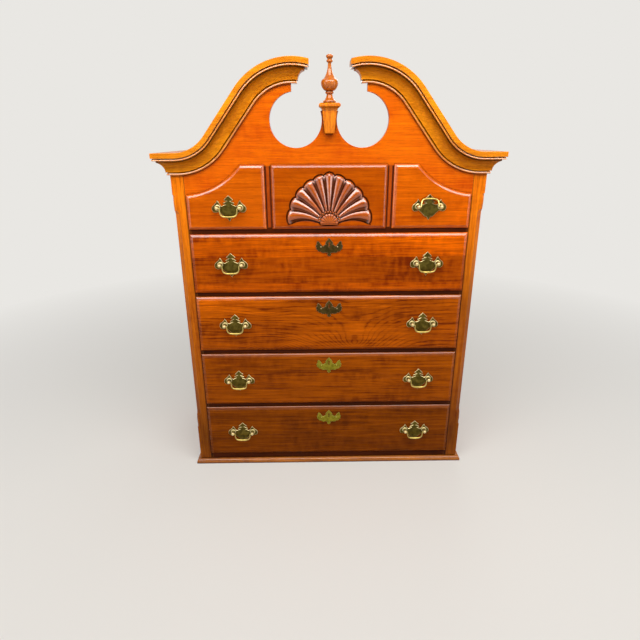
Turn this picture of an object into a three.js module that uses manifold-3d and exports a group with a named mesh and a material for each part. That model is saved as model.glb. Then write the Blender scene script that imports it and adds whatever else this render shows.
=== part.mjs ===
// Upper case of a scroll-top highboy. Four wide lipped drawers and a row of three small ones
// stand under a broken swan-neck pediment with a turned finial on a plinth.
// Millimetres. +Z is up, the drawers face -Y, left and right are the viewer's, and the origin
// is on the floor under the middle of the whole piece.

import * as THREE from 'three';
import { mergeVertices } from 'three/addons/utils/BufferGeometryUtils.js';
import Module from 'manifold-3d';

const wasm = await Module();
wasm.setup();

const degree = Math.PI / 180;

// Fits and overruns
const seatGap = 0.3;
const drawerClearance = 1.5;
const runnerClearance = 0.4;
const cutOverrun = 2;

// Case
const caseWidth = 876;
const caseDepth = 445;
const headRailHeight = 30.5;
const boardThickness = 20;
const backThickness = 10;
const backRebate = 10;
const housingDepth = 6;

// Corner posts, with a chamfer that ends in a lamb's tongue at both ends
const postWidth = 43;
const postDepth = 38;
const postArris = 0.6;
const chamferWidth = 15;
const lowerStopHeight = 140;
const upperStopDrop = 111;
const stopLength = 54;
const boardLapWidth = 7;
const boardLapDrop = 5;

// Drawer fronts, from the bottom row up
const wideFrontHeights = [180.5, 178, 176.5, 176];
const firstFrontHeight = 36.5;
const frontGap = 12.5;
const smallFrontHeight = 177;
const centreOpeningWidth = 313;
const dividerWidth = 27;
const lipOverlap = 5;
const frontProud = 10;
const frontBodyThickness = 12;
const lipEdgeThickness = 2.4;
const thumbnailWidth = 7.5;
const thumbnailDrop = 6.2;
const archDepthBelowScroll = 53.5;

// Drawer boxes
const boxBackGap = 23;
const sideThickness = 12;
const bottomThickness = 6.5;
const bottomRise = 8;
const sideHeadroom = 6;
const smallSideHeadroom = 12.5;

// Web frames with dust panels
const frameRailDepth = 76;
const frameRunnerWidth = 70;
const dustPanelThickness = 8;
const apronThickness = 22;

// Cornice and the swan-neck scrolls that it turns into
const corniceProjection = 38;
const corniceHeight = 58;
const fasciaHeight = 13.5;
const quirkDepth = 5;
const upperBeadRadius = 3.25;
const coveShelf = 27;
const coveRadius = 28;
const coveFoot = 9;
const lowerBeadRadius = 4;
const lowerBeadProjection = 3.5;
const scrollFootInset = 21;
const scrollCrownX = 98;
const scrollRise = 227;
const scrollSlope = 52.5 * degree;
const crownRadiusShare = 0.63;
const scrollEndX = 53;
const mouldingOverBoard = 3;

// Scroll board. The eyes are the round openings beside the neck that carries the finial.
const eyeX = 90;
const eyeRise = 81;
const eyeRadius = 70;
const boardTipReach = 10;
const neckRise = 22;

// Finial and its plinth
const plinthHeight = 56;
const plinthTopWidth = 38;
const plinthFootWidth = 25.5;
const plinthTopReach = 30;
const plinthFootReach = 24;
const capWidth = 56;
const capHeight = 18;
const capCentreReach = 10;
const finialHeight = 114;
const finialRadius = 22.4;
const tenonRadius = 4.7;
const tenonLength = 13;

// Base moulding
const baseHeight = 16;
const baseProjection = 11.7;

// Bail pulls
const pullInset = 114;
const smallPullHeight = 62.5;
const smallPullShift = 8.25;
const plateHalfWidth = 48.5;
const plateCrest = 34;
const plateDrop = 38;
const plateThickness = 1.8;
const plateBevel = 0.8;
const studSpacing = 63.5;
const studReach = 14;
const studCollarRadius = 5.4;
const studNeckRadius = 2.8;
const studBallRadius = 4.6;
const pinRadius = 1.5;
const pinClearance = 0.5;
const bailDrop = 24;
const bailArmX = 24.6;
const gripRadius = 2.7;
const raisedBailAngle = 206 * degree;

// Escutcheons
const escutcheonWidth = 79;
const escutcheonHeight = 54;
const escutcheonDrop = 12;
const escutcheonThickness = 1.6;
const keyholeRadius = 3;
const keyholeSlotWidth = 3;
const keyholeLength = 15;

// Carved shell
const shellRootRise = 8.5;
const shellTopRadius = 146;
const shellSideRadius = 119;
const shellInnerRadius = 12;
const shellLobes = 11;
const shellScallop = 4;
const shellGround = 3.2;
const shellRelief = 6;
const hubRise = 11;
const hubRadius = 26;
const hubRelief = 10;

// Rows of drawers. Each row has the bottom and top of its fronts' lips.
const rows = [];
let rowBottom = firstFrontHeight;
for (const height of [...wideFrontHeights, smallFrontHeight]) {
  rows.push({ bottom: rowBottom, top: rowBottom + height });
  rowBottom += height + frontGap;
}
const smallRow = rows[rows.length - 1];
const openingHead = smallRow.top - lipOverlap;
const caseHeight = smallRow.top + headRailHeight;

// The frames' heights, from the bottom up
const frameHeight = frontGap + 2 * lipOverlap;
const frameTops = rows.map((row) => row.bottom + lipOverlap);

// Sizes that follow
const caseHalf = caseWidth / 2;
const openingHalf = caseHalf - postWidth;
const centreHalf = centreOpeningWidth / 2;
const boxLength = caseDepth - backThickness - frontBodyThickness - boxBackGap;
const upperStopHeight = caseHeight - upperStopDrop;
const eyeHeight = caseHeight + eyeRise;
const neckHeight = eyeHeight + neckRise;
const boardTipX = eyeX + boardTipReach;
const scrollFootX = caseHalf - scrollFootInset;
const shellRootHeight = smallRow.bottom + shellRootRise;
const hubHeight = shellRootHeight + hubRise;
const scrollRun = scrollFootX - scrollCrownX;
const radiusSum = (scrollRun * Math.sin(scrollSlope) - scrollRise * Math.cos(scrollSlope))
  / (1 - Math.cos(scrollSlope));
const crownRadius = radiusSum * crownRadiusShare;
const footRadius = radiusSum - crownRadius;
const footCentreHeight = caseHeight + footRadius;
const crownCentreHeight = caseHeight + scrollRise - crownRadius;

// Finishes
const finishes = {
  scrollWood: { color: 0xc9641c, roughness: 0.3, metalness: 0 },
  mouldingWood: { color: 0xcf7f2c, roughness: 0.28, metalness: 0 },
  drawerWood: { color: 0xa94d1b, roughness: 0.3, metalness: 0 },
  insideWood: { color: 0xc59a62, roughness: 0.7, metalness: 0 },
  brass: { color: 0x8c7a3a, roughness: 0.35, metalness: 1 },
};

const highboy = new THREE.Group();
highboy.position.y = (corniceProjection - caseDepth) / 2;

// Adds one named sub-part to a group, with a material of its own
function addPart(group, name, finish, solid) {
  const mesh = new THREE.Mesh(toGeometry(solid), new THREE.MeshStandardMaterial(finishes[finish]));
  mesh.material.flatShading = true;
  mesh.name = name;
  group.add(mesh);
  return mesh;
}

// Six times the volume inside a closed mesh, negative when its faces point in
function signedVolume(positions, triangles) {
  const corners = [new THREE.Vector3(), new THREE.Vector3(), new THREE.Vector3()];
  let total = 0;
  for (let index = 0; index < triangles.length; index += 3) {
    corners.forEach((corner, side) => corner.fromArray(positions, 3 * triangles[index + side]));
    total += corners[0].dot(corners[1].clone().cross(corners[2]));
  }
  return total;
}

// Turns a closed three.js geometry into a solid that can be joined and cut
function toSolid(geometry) {
  geometry.deleteAttribute('normal');
  geometry.deleteAttribute('uv');
  const merged = mergeVertices(geometry);
  const vertProperties = merged.attributes.position.array;
  const triVerts = Uint32Array.from(merged.index.array);
  if (signedVolume(vertProperties, triVerts) < 0) {
    triVerts.reverse();
  }
  return new wasm.Manifold(new wasm.Mesh({ numProp: 3, vertProperties, triVerts }));
}

function toGeometry(solid) {
  const mesh = solid.getMesh();
  const geometry = new THREE.BufferGeometry();
  geometry.setAttribute('position', new THREE.BufferAttribute(mesh.vertProperties, 3));
  geometry.setIndex(new THREE.BufferAttribute(mesh.triVerts, 1));
  geometry.computeVertexNormals();
  return geometry;
}

// Triangles of a flat ring of points, turning the same way as the ring or against it
function capTriangles(ring, firstIndex, against) {
  const normal = new THREE.Vector3();
  ring.forEach((point, index) => {
    normal.add(point.clone().cross(ring[(index + 1) % ring.length]));
  });
  const across = new THREE.Vector3(normal.y, normal.z, normal.x).cross(normal).normalize();
  const along = normal.clone().cross(across).normalize();
  const flat = ring.map((point) => new THREE.Vector2(point.dot(across), point.dot(along)));
  const turn = Math.sign(THREE.ShapeUtils.area(flat));
  return THREE.ShapeUtils.triangulateShape(flat, []).flatMap(([a, b, c]) => {
    const same = Math.sign(THREE.ShapeUtils.area([flat[a], flat[b], flat[c]])) === turn;
    const ordered = same === against ? [a, c, b] : [a, b, c];
    return ordered.map((corner) => corner + firstIndex);
  });
}

// Joins matching rings of points into one closed solid with flat ends
function loft(rings) {
  const count = rings[0].length;
  const positions = rings.flat().flatMap((point) => point.toArray());
  const triangles = capTriangles(rings[0], 0, true);
  for (let ring = 0; ring + 1 < rings.length; ring += 1) {
    for (let corner = 0; corner < count; corner += 1) {
      const near = ring * count + corner;
      const next = ring * count + ((corner + 1) % count);
      triangles.push(near, next, next + count, near, next + count, near + count);
    }
  }
  const last = rings.length - 1;
  triangles.push(...capTriangles(rings[last], last * count, false));
  const geometry = new THREE.BufferGeometry();
  geometry.setAttribute('position', new THREE.Float32BufferAttribute(positions, 3));
  geometry.setIndex(triangles);
  return toSolid(geometry);
}

// A carved face given as a grid of points, closed by straight walls down to a flat back
function relief(grid, backY) {
  const columns = grid[0].length;
  const rowCount = grid.length;
  const positions = grid.flat().flatMap((point) => point.toArray());
  const triangles = [];
  for (let row = 0; row + 1 < rowCount; row += 1) {
    for (let column = 0; column + 1 < columns; column += 1) {
      const near = row * columns + column;
      const far = near + columns;
      triangles.push(near, near + 1, far + 1, near, far + 1, far);
    }
  }
  const rim = [];
  for (let column = 0; column < columns; column += 1) {
    rim.push(column);
  }
  for (let row = 1; row < rowCount; row += 1) {
    rim.push(row * columns + columns - 1);
  }
  for (let column = columns - 2; column >= 0; column -= 1) {
    rim.push((rowCount - 1) * columns + column);
  }
  for (let row = rowCount - 2; row > 0; row -= 1) {
    rim.push(row * columns);
  }
  const firstBack = rowCount * columns;
  const back = rim.map((index) => grid.flat()[index].clone().setY(backY));
  back.forEach((point) => positions.push(...point.toArray()));
  rim.forEach((front, index) => {
    const next = (index + 1) % rim.length;
    triangles.push(front, firstBack + index, firstBack + next, front, firstBack + next, rim[next]);
  });
  triangles.push(...capTriangles(back, firstBack, true));
  const geometry = new THREE.BufferGeometry();
  geometry.setAttribute('position', new THREE.Float32BufferAttribute(positions, 3));
  geometry.setIndex(triangles);
  return toSolid(geometry);
}

function block(left, right, front, back, bottom, top) {
  const geometry = new THREE.BoxGeometry(right - left, back - front, top - bottom);
  geometry.translate((left + right) / 2, (front + back) / 2, (bottom + top) / 2);
  return toSolid(geometry);
}

// Extrudes a front-view outline, x across and z up, from one depth to another
function frontPrism(shape, front, back, bevel = 0) {
  const geometry = new THREE.ExtrudeGeometry(shape, {
    depth: back - front,
    bevelEnabled: bevel > 0,
    bevelThickness: bevel,
    bevelSize: bevel,
    bevelOffset: -bevel,
    bevelSegments: 1,
  });
  geometry.rotateX(Math.PI / 2);
  geometry.translate(0, back, 0);
  return toSolid(geometry);
}

// Extrudes a plan outline, x across and y back, from one height to another
function planPrism(shape, bottom, top) {
  const geometry = new THREE.ExtrudeGeometry(shape, { depth: top - bottom, bevelEnabled: false });
  geometry.translate(0, 0, bottom);
  return toSolid(geometry);
}

function polygon(points) {
  return new THREE.Shape(points.map(([x, y]) => new THREE.Vector2(x, y)));
}

// Spreads one half of an outline, listed from the top middle to the foot middle, to both sides
function mirroredOutline(half) {
  const other = half.slice(1, -1).reverse().map(([x, z]) => [-x, z]);
  return polygon([...half, ...other]);
}

// Solid of revolution about the Z axis
function turned(profile, segments) {
  const points = profile.map(([radius, height]) => new THREE.Vector2(radius, height));
  const geometry = new THREE.LatheGeometry(points, segments);
  geometry.rotateX(Math.PI / 2);
  return toSolid(geometry);
}

// Points of an arc about a centre, in [x, z], with the angle taken from straight up
function arcPoints(centreX, centreZ, radius, from, to, steps) {
  const points = [];
  for (let step = 0; step <= steps; step += 1) {
    const angle = from + (to - from) * (step / steps);
    points.push([centreX + radius * Math.sin(angle), centreZ + radius * Math.cos(angle)]);
  }
  return points;
}

// Cornice section. drop is measured down from the top edge, out is the projection.
const halfRoundTurns = [-90, -45, 0, 45, 90];

function corniceSection() {
  const beadStart = fasciaHeight;
  const beadCentre = beadStart + upperBeadRadius;
  const beadEnd = beadCentre + upperBeadRadius;
  const beadBase = corniceProjection - quirkDepth;
  const coveEnd = corniceHeight - 2 * lowerBeadRadius;
  const coveCentre = coveFoot + coveRadius;
  const coveTurn = Math.acos((coveCentre - coveShelf) / coveRadius);
  const coveSteps = 5;
  const points = [[0, 0], [0, corniceProjection], [beadStart, corniceProjection]];
  for (const turn of halfRoundTurns) {
    const drop = beadCentre + upperBeadRadius * Math.sin(turn * degree);
    points.push([drop, beadBase + upperBeadRadius * Math.cos(turn * degree)]);
  }
  points.push([beadEnd, coveShelf]);
  for (let step = 0; step <= coveSteps; step += 1) {
    const turn = coveTurn * (1 - step / coveSteps);
    const out = coveCentre - coveRadius * Math.cos(turn);
    points.push([coveEnd - coveRadius * Math.sin(turn), out]);
  }
  for (const turn of halfRoundTurns) {
    const drop = coveEnd + lowerBeadRadius * (1 + Math.sin(turn * degree));
    points.push([drop, lowerBeadProjection + lowerBeadRadius * Math.cos(turn * degree)]);
  }
  points.push([corniceHeight, 0]);
  return points.map(([drop, out]) => ({ drop, out }));
}

const section = corniceSection();

// A point of the rising scroll, at a distance below its upper edge. The foot arc is hollow and
// the crown arc is round, and the straight between them has the scroll's steepest slope.
function footPoint(drop, angle) {
  const radius = footRadius + drop;
  return [scrollFootX - radius * Math.sin(angle), footCentreHeight - radius * Math.cos(angle)];
}

function crownPoint(drop, angle) {
  const radius = crownRadius - drop;
  return [scrollCrownX + radius * Math.sin(angle), crownCentreHeight + radius * Math.cos(angle)];
}

// One swan-neck moulding, mitred at the corner of the case and returned at the scroll's end
function scrollMoulding(side) {
  const footSteps = 7;
  const crownSteps = 9;
  const placed = (x, z, out) => new THREE.Vector3(side * x, -out, z);
  const rings = [];
  rings.push(section.map(({ drop, out }) => placed(caseHalf + out, caseHeight - drop, out)));
  for (let step = 0; step <= footSteps; step += 1) {
    const angle = scrollSlope * (step / footSteps);
    rings.push(section.map(({ drop, out }) => placed(...footPoint(drop, angle), out)));
  }
  for (let step = 0; step <= crownSteps; step += 1) {
    rings.push(section.map(({ drop, out }) => {
      const endX = out > 0 ? scrollEndX + corniceProjection - out : boardTipX - seatGap;
      const endAngle = Math.asin((endX - scrollCrownX) / (crownRadius - drop));
      const angle = scrollSlope + (endAngle - scrollSlope) * (step / crownSteps);
      return placed(...crownPoint(drop, angle), out);
    }));
  }
  rings.push(rings[rings.length - 1].map((point) => point.clone().setY(boardThickness)));
  return loft(rings);
}

function sideCornice(side) {
  const ring = (reach) => section.map(({ drop, out }) => {
    return new THREE.Vector3(side * (caseHalf + out), reach(out), caseHeight - drop);
  });
  return loft([ring((out) => seatGap - out), ring(() => caseDepth)]);
}

// Height of the arched head of a side opening, struck from the centre of the scroll's foot
function archRadius(drop) {
  return footRadius + corniceHeight + archDepthBelowScroll + drop;
}

function archHeight(x, drop) {
  const run = scrollFootX - x;
  return footCentreHeight - Math.sqrt(archRadius(drop) ** 2 - run ** 2);
}

function archX(height, drop) {
  const fall = footCentreHeight - height;
  return scrollFootX - Math.sqrt(archRadius(drop) ** 2 - fall ** 2);
}

function archPoints(innerX, outerX, drop, steps) {
  const from = Math.asin((innerX - scrollFootX) / archRadius(drop));
  const to = Math.asin((outerX - scrollFootX) / archRadius(drop));
  const points = [];
  for (let step = 0; step <= steps; step += 1) {
    const angle = from + (to - from) * (step / steps);
    const x = scrollFootX + archRadius(drop) * Math.sin(angle);
    points.push([x, footCentreHeight - archRadius(drop) * Math.cos(angle)]);
  }
  return points;
}

function scrollBoard() {
  const boardHalf = openingHalf + boardLapWidth;
  const lapHeight = archHeight(openingHalf, lipOverlap) - boardLapDrop;
  const footStart = Math.asin((scrollFootX - boardHalf) / (footRadius + mouldingOverBoard));
  const tipAngle = Math.asin((boardTipX - scrollCrownX) / (crownRadius - mouldingOverBoard));
  const curveSteps = 9;
  const eyeSteps = 24;
  const half = [[0, neckHeight]];
  const neckAngle = -Math.acos((neckHeight - eyeHeight) / eyeRadius);
  const eyeStart = Math.asin((boardTipX - eyeX) / eyeRadius);
  half.push(...arcPoints(eyeX, eyeHeight, eyeRadius, 2 * Math.PI + neckAngle, eyeStart, eyeSteps));
  for (let step = 0; step <= curveSteps; step += 1) {
    const angle = tipAngle + (scrollSlope - tipAngle) * (step / curveSteps);
    half.push(crownPoint(mouldingOverBoard, angle));
  }
  for (let step = 0; step <= curveSteps; step += 1) {
    const angle = scrollSlope + (footStart - scrollSlope) * (step / curveSteps);
    half.push(footPoint(mouldingOverBoard, angle));
  }
  half.push([boardHalf, lapHeight], [openingHalf, lapHeight]);
  half.push(...archPoints(archX(openingHead, lipOverlap), openingHalf, lipOverlap, curveSteps).reverse());
  half.push([0, openingHead]);
  return frontPrism(mirroredOutline(half), 0, boardThickness);
}

// A corner post: square at both ends, chamfered between two lamb's tongue stops
function cornerPost(side) {
  const lapHeight = archHeight(openingHalf, lipOverlap) - boardLapDrop;
  const tongueShares = [[0, 0], [0.03, 0.45], [0.4, 0.34], [0.8, 0.5], [0.88, 0.8], [1, 1]];
  const stations = [[0, postArris]];
  for (const [along, depth] of tongueShares) {
    const cut = Math.max(postArris, chamferWidth * depth);
    stations.push([lowerStopHeight + stopLength * along, cut]);
  }
  for (const [along, depth] of [...tongueShares].reverse()) {
    const cut = Math.max(postArris, chamferWidth * depth);
    stations.push([upperStopHeight - stopLength * along, cut]);
  }
  stations.push([caseHeight, postArris]);
  const rings = stations.map(([height, cut]) => [
    new THREE.Vector3(side * openingHalf, 0, height),
    new THREE.Vector3(side * (caseHalf - cut), 0, height),
    new THREE.Vector3(side * caseHalf, cut, height),
    new THREE.Vector3(side * caseHalf, postDepth, height),
    new THREE.Vector3(side * openingHalf, postDepth, height),
  ]);
  const lapEnds = [side * (openingHalf - cutOverrun), side * (openingHalf + boardLapWidth)];
  const [left, right] = lapEnds.sort((a, b) => a - b);
  const lap = block(left, right, -cutOverrun, boardThickness, lapHeight, caseHeight + cutOverrun);
  return loft(rings).subtract(lap);
}

// A side board, rebated for the back and housed for the frames and the top
function sidePanel(side) {
  const inner = caseHalf - boardThickness;
  const plan = [
    [inner, postDepth],
    [caseHalf, postDepth],
    [caseHalf, caseDepth],
    [caseHalf - backRebate, caseDepth],
    [caseHalf - backRebate, caseDepth - backThickness],
    [inner, caseDepth - backThickness],
  ];
  let panel = planPrism(polygon(plan.map(([x, y]) => [side * x, y])), 0, caseHeight);
  for (const top of frameTops) {
    const ends = [side * (inner - cutOverrun), side * (inner + housingDepth)].sort((a, b) => a - b);
    const bottom = top - frameHeight - seatGap;
    const back = caseDepth - backThickness;
    panel = panel.subtract(block(...ends, postDepth - cutOverrun, back, bottom, top + seatGap));
  }
  return panel;
}

// Plan of a board that fits between the posts in front and between the sides behind them
function notchedPlan(front, sideReach) {
  const back = caseDepth - backThickness;
  return polygon([
    [-openingHalf, front],
    [openingHalf, front],
    [openingHalf, postDepth + seatGap],
    [sideReach, postDepth + seatGap],
    [sideReach, back],
    [-sideReach, back],
    [-sideReach, postDepth + seatGap],
    [-openingHalf, postDepth + seatGap],
  ]);
}

// A web frame: front rail, runners and back rail round a thin dust panel
function webFrame(top) {
  const bottom = top - frameHeight;
  const reach = caseHalf - boardThickness + housingDepth - seatGap;
  const recess = (frameHeight - dustPanelThickness) / 2;
  const half = reach - frameRunnerWidth;
  const back = caseDepth - backThickness - frameRailDepth;
  const upper = block(-half, half, frameRailDepth, back, top - recess, top + cutOverrun);
  const lower = block(-half, half, frameRailDepth, back, bottom - cutOverrun, bottom + recess);
  return planPrism(notchedPlan(0, reach), bottom, top).subtract(upper).subtract(lower);
}

function bottomFrame() {
  const top = frameTops[0];
  const apron = block(-openingHalf, openingHalf, 0, apronThickness, 0, top);
  return webFrame(top).add(apron);
}

// A divider between small drawers, with the guide strip that runs back from it
function divider(side) {
  const ends = [side * centreHalf, side * (centreHalf + dividerWidth)].sort((a, b) => a - b);
  const foot = frameTops[frameTops.length - 1];
  const stile = block(...ends, 0, boardThickness, foot, openingHead);
  const guideBack = caseDepth - backThickness - seatGap;
  const guide = block(...ends, 0, guideBack, foot, foot + boardThickness);
  return stile.add(guide);
}

// Two-step moulding round the foot of the case
function baseMoulding() {
  const stepShares = [
    [0, 0], [0, 1], [0.52, 1], [0.61, 0.88], [0.61, 0.68], [0.74, 0.45], [0.88, 0.33], [1, 0.3], [1, 0],
  ];
  const ring = (side, reach) => stepShares.map(([up, out]) => {
    const projection = baseProjection * out;
    return new THREE.Vector3(side * (caseHalf + projection), reach(projection), baseHeight * up);
  });
  const corner = (projection) => -projection;
  const end = () => caseDepth;
  return loft([ring(-1, end), ring(-1, corner), ring(1, corner), ring(1, end)]);
}

// Outline of a drawer front, pulled in by an inset on every edge
function frontOutline(left, right, bottom, top, inset, arched) {
  const archSteps = 9;
  const foot = [[left + inset, bottom + inset], [right - inset, bottom + inset]];
  if (!arched) {
    return [...foot, [right - inset, top - inset], [left + inset, top - inset]];
  }
  const outer = right - inset;
  const head = top - inset;
  const arch = archPoints(archX(head, inset), outer, inset, archSteps).reverse();
  return [...foot, ...arch, [left + inset, head]];
}

// A lipped drawer front with a thumbnail moulding round its face. side mirrors it across x.
function drawerFront(left, right, bottom, top, side = 1, arched = false) {
  const bodyInset = lipOverlap + drawerClearance;
  const lipFront = seatGap + lipEdgeThickness;
  const stations = [
    [bodyInset, frontBodyThickness],
    [bodyInset, -seatGap],
    [0, -seatGap],
    [0, -lipFront],
  ];
  const quarterRoundTurns = [30, 60, 90];
  for (const turn of quarterRoundTurns) {
    const inset = thumbnailWidth * (1 - Math.cos(turn * degree));
    stations.push([inset, -lipFront - thumbnailDrop * Math.sin(turn * degree)]);
  }
  stations.push([thumbnailWidth, -frontProud]);
  return loft(stations.map(([inset, depth]) => {
    const outline = frontOutline(left, right, bottom, top, inset, arched);
    return outline.map(([x, z]) => new THREE.Vector3(side * x, depth, z));
  }));
}

// The box behind a front: two sides, a back and a bottom that slides in under the back
function drawerBox(left, right, bottom, height) {
  const front = frontBodyThickness;
  const back = front + boxLength;
  const top = bottom + height;
  const floor = bottom + bottomRise;
  const leftSide = block(left, left + sideThickness, front, back, bottom, top);
  const rightSide = block(right - sideThickness, right, front, back, bottom, top);
  const backBoard = block(left, right, back - sideThickness, back, floor, top - sideHeadroom);
  const bottomBoard = block(left, right, front, back, floor, floor + bottomThickness);
  return leftSide.add(rightSide).add(bottomBoard).add(backBoard);
}

function finialPlinth() {
  const capRise = neckHeight + capHeight;
  const blockRing = (height, width, reach) => [
    new THREE.Vector3(-width / 2, -reach, height),
    new THREE.Vector3(width / 2, -reach, height),
    new THREE.Vector3(width / 2, 0, height),
    new THREE.Vector3(-width / 2, 0, height),
  ];
  const capShares = [[0, 0.73], [0.2, 0.78], [0.4, 0.88], [0.5, 0.95], [0.5, 1], [0.72, 1], [1, 0.82]];
  const capRings = capShares.map(([up, wide]) => {
    const half = (capWidth / 2) * wide;
    const height = neckHeight + capHeight * up;
    return [
      new THREE.Vector3(-half, -capCentreReach - half, height),
      new THREE.Vector3(half, -capCentreReach - half, height),
      new THREE.Vector3(half, half - capCentreReach, height),
      new THREE.Vector3(-half, half - capCentreReach, height),
    ];
  });
  const shaft = loft([
    blockRing(neckHeight - plinthHeight, plinthFootWidth, plinthFootReach),
    blockRing(neckHeight, plinthTopWidth, plinthTopReach),
  ]);
  const socketRadius = tenonRadius + 2 * seatGap;
  const socketDepth = tenonLength + seatGap;
  const length = socketDepth + cutOverrun;
  const segments = 16;
  const socketGeometry = new THREE.CylinderGeometry(socketRadius, socketRadius, length, segments);
  socketGeometry.rotateX(Math.PI / 2);
  const socketMiddle = capRise + (cutOverrun - socketDepth) / 2;
  socketGeometry.translate(0, -capCentreReach, socketMiddle);
  return loft(capRings).add(shaft).subtract(toSolid(socketGeometry));
}

// Turned finial: a foot, a waist with a ring, the bulb, a slender neck, a bead and a ball
function finial() {
  const profileShares = [
    [0.76, 0], [0.76, 0.035], [0.66, 0.052], [0.5, 0.11], [0.38, 0.155], [0.38, 0.195],
    [0.46, 0.215], [0.46, 0.245], [0.62, 0.265], [0.83, 0.315], [0.96, 0.365], [1, 0.415],
    [0.95, 0.455], [0.84, 0.485], [0.78, 0.492], [0.62, 0.52], [0.4, 0.6], [0.26, 0.68],
    [0.2, 0.78], [0.2, 0.82], [0.31, 0.835], [0.36, 0.87], [0.31, 0.9], [0.25, 0.912],
    [0.35, 0.93], [0.4, 0.955], [0.33, 0.982], [0.17, 0.997],
  ];
  const segments = 16;
  const profile = [[0, -tenonLength], [tenonRadius, -tenonLength], [tenonRadius, 0]];
  for (const [radius, height] of profileShares) {
    profile.push([finialRadius * radius, finialHeight * height]);
  }
  profile.push([0, finialHeight]);
  return turned(profile, segments);
}

// Half outline of a pull's plate, from the crest down to the pendant. Heights above the line of
// the studs are shares of the crest, and those below it are shares of the drop.
const plateShares = [
  [0, 1], [0.29, 0.6], [0.28, 0.49], [0.13, 0.44], [0.37, 0.26], [0.36, 0.14], [0.29, 0.08],
  [0.4, 0.1], [0.49, 0.24], [0.54, 0.42], [0.64, 0.56], [0.74, 0.46], [0.95, 0.06], [1, -0.1],
  [0.95, -0.27], [0.84, -0.37], [0.56, -0.32], [0.44, -0.42], [0.2, -0.78], [0.12, -0.74],
  [0.08, -0.86], [0, -1],
];

function plateOutline() {
  return plateShares.map(([wide, high]) => {
    return [plateHalfWidth * wide, high > 0 ? plateCrest * high : plateDrop * high];
  });
}

// A stud that carries one end of the bail, turned about Y and standing on the plate's face
function stud(x) {
  const base = -plateThickness / 2;
  const face = -plateThickness;
  const pivot = face - studReach;
  const profile = [[0, base], [studCollarRadius, base], [studCollarRadius, face - plateThickness]];
  profile.push([studNeckRadius, face - 2 * plateThickness]);
  const ballTurns = [140, 90, 40];
  for (const turn of ballTurns) {
    const radius = studBallRadius * Math.sin(turn * degree);
    profile.push([radius, pivot - studBallRadius * Math.cos(turn * degree)]);
  }
  profile.push([0, pivot - studBallRadius]);
  const segments = 8;
  const points = profile.map(([radius, depth]) => new THREE.Vector2(radius, depth));
  const body = new THREE.LatheGeometry(points, segments);
  body.translate(x, 0, 0);
  const boreRadius = pinRadius + pinClearance;
  const boreLength = 2 * (studBallRadius + cutOverrun);
  const bore = new THREE.CylinderGeometry(boreRadius, boreRadius, boreLength, segments);
  bore.rotateZ(Math.PI / 2);
  bore.translate(x, pivot, 0);
  return toSolid(body).subtract(toSolid(bore));
}

// The bat-wing plate with its two studs, on the line between the studs, against y = 0
function pullPlate() {
  const shape = mirroredOutline(plateOutline());
  const depth = 2 * plateThickness;
  const sheet = frontPrism(shape, -plateThickness + plateBevel, depth - plateBevel, plateBevel);
  const reach = plateHalfWidth + plateCrest + plateDrop;
  const behind = block(-reach, reach, 0, depth + cutOverrun, -reach, reach);
  return sheet.subtract(behind).add(stud(-studSpacing / 2)).add(stud(studSpacing / 2));
}

// Shares of the arm's distance, the drop and the grip's radius, from the grip's middle to the
// bend under the pin
const bailShares = [
  [0, 1, 1], [0.5, 0.97, 0.93], [0.8, 0.87, 0.77], [0.95, 0.66, 0.68], [1, 0.17, 0.62],
];

// Half of the bail's centre line from the grip's middle to the pin's end, each with its radius
function bailStations() {
  const pinStart = studSpacing / 2 - studBallRadius - seatGap;
  const pinEnd = (studSpacing + studBallRadius) / 2;
  const stations = bailShares.map(([out, down, thick]) => {
    return [bailArmX * out, -bailDrop * down, gripRadius * thick];
  });
  return [...stations, [pinStart, 0, pinRadius], [pinEnd, 0, pinRadius]];
}

// A bail that hangs from the line y = z = 0, with its pins along X
function bail() {
  const half = bailStations();
  const line = [...half.slice(1).reverse().map(([x, z, radius]) => [-x, z, radius]), ...half];
  const sides = 6;
  const rings = line.map(([x, z, radius], index) => {
    const before = line[Math.max(index - 1, 0)];
    const after = line[Math.min(index + 1, line.length - 1)];
    const run = new THREE.Vector2(after[0] - before[0], after[1] - before[1]).normalize();
    const ring = [];
    for (let corner = 0; corner < sides; corner += 1) {
      const angle = (2 * Math.PI * corner) / sides;
      const across = radius * Math.cos(angle);
      const depth = radius * Math.sin(angle);
      ring.push(new THREE.Vector3(x - run.y * across, depth, z + run.x * across));
    }
    return ring;
  });
  return loft(rings);
}

// Bat-wing escutcheon with a keyhole, centred on its own middle, against y = 0
const escutcheonShares = [
  [0, 1], [0.3, 0.5], [0.28, 0.42], [0.2, 0.36], [0.28, 0.32], [0.43, 0.19],
  [0.41, 0.11], [0.5, 0.13], [0.58, 0.34], [0.68, 0.57], [0.79, 0.7], [0.91, 0.42], [0.99, 0.12],
  [0.98, -0.08], [0.92, -0.2], [0.72, -0.3], [0.55, -0.42], [0.4, -0.6], [0.25, -0.7],
  [0.15, -0.58], [0.11, -0.68], [0, -1],
];

function escutcheon() {
  const outline = escutcheonShares.map(([wide, high]) => {
    return [(escutcheonWidth / 2) * wide, (escutcheonHeight / 2) * high];
  });
  const shape = mirroredOutline(outline);
  const slotHalf = keyholeSlotWidth / 2;
  const eyeCentre = keyholeLength - keyholeRadius;
  const slotTurn = Math.asin(slotHalf / keyholeRadius);
  const eyeSteps = 8;
  const eye = arcPoints(0, eyeCentre, keyholeRadius, slotTurn - Math.PI, Math.PI - slotTurn, eyeSteps);
  const keyhole = [...eye, [slotHalf, 0], [-slotHalf, 0]];
  const cut = frontPrism(polygon(keyhole), -escutcheonThickness - cutOverrun, cutOverrun);
  return frontPrism(shape, -escutcheonThickness, 0).subtract(cut);
}

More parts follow.
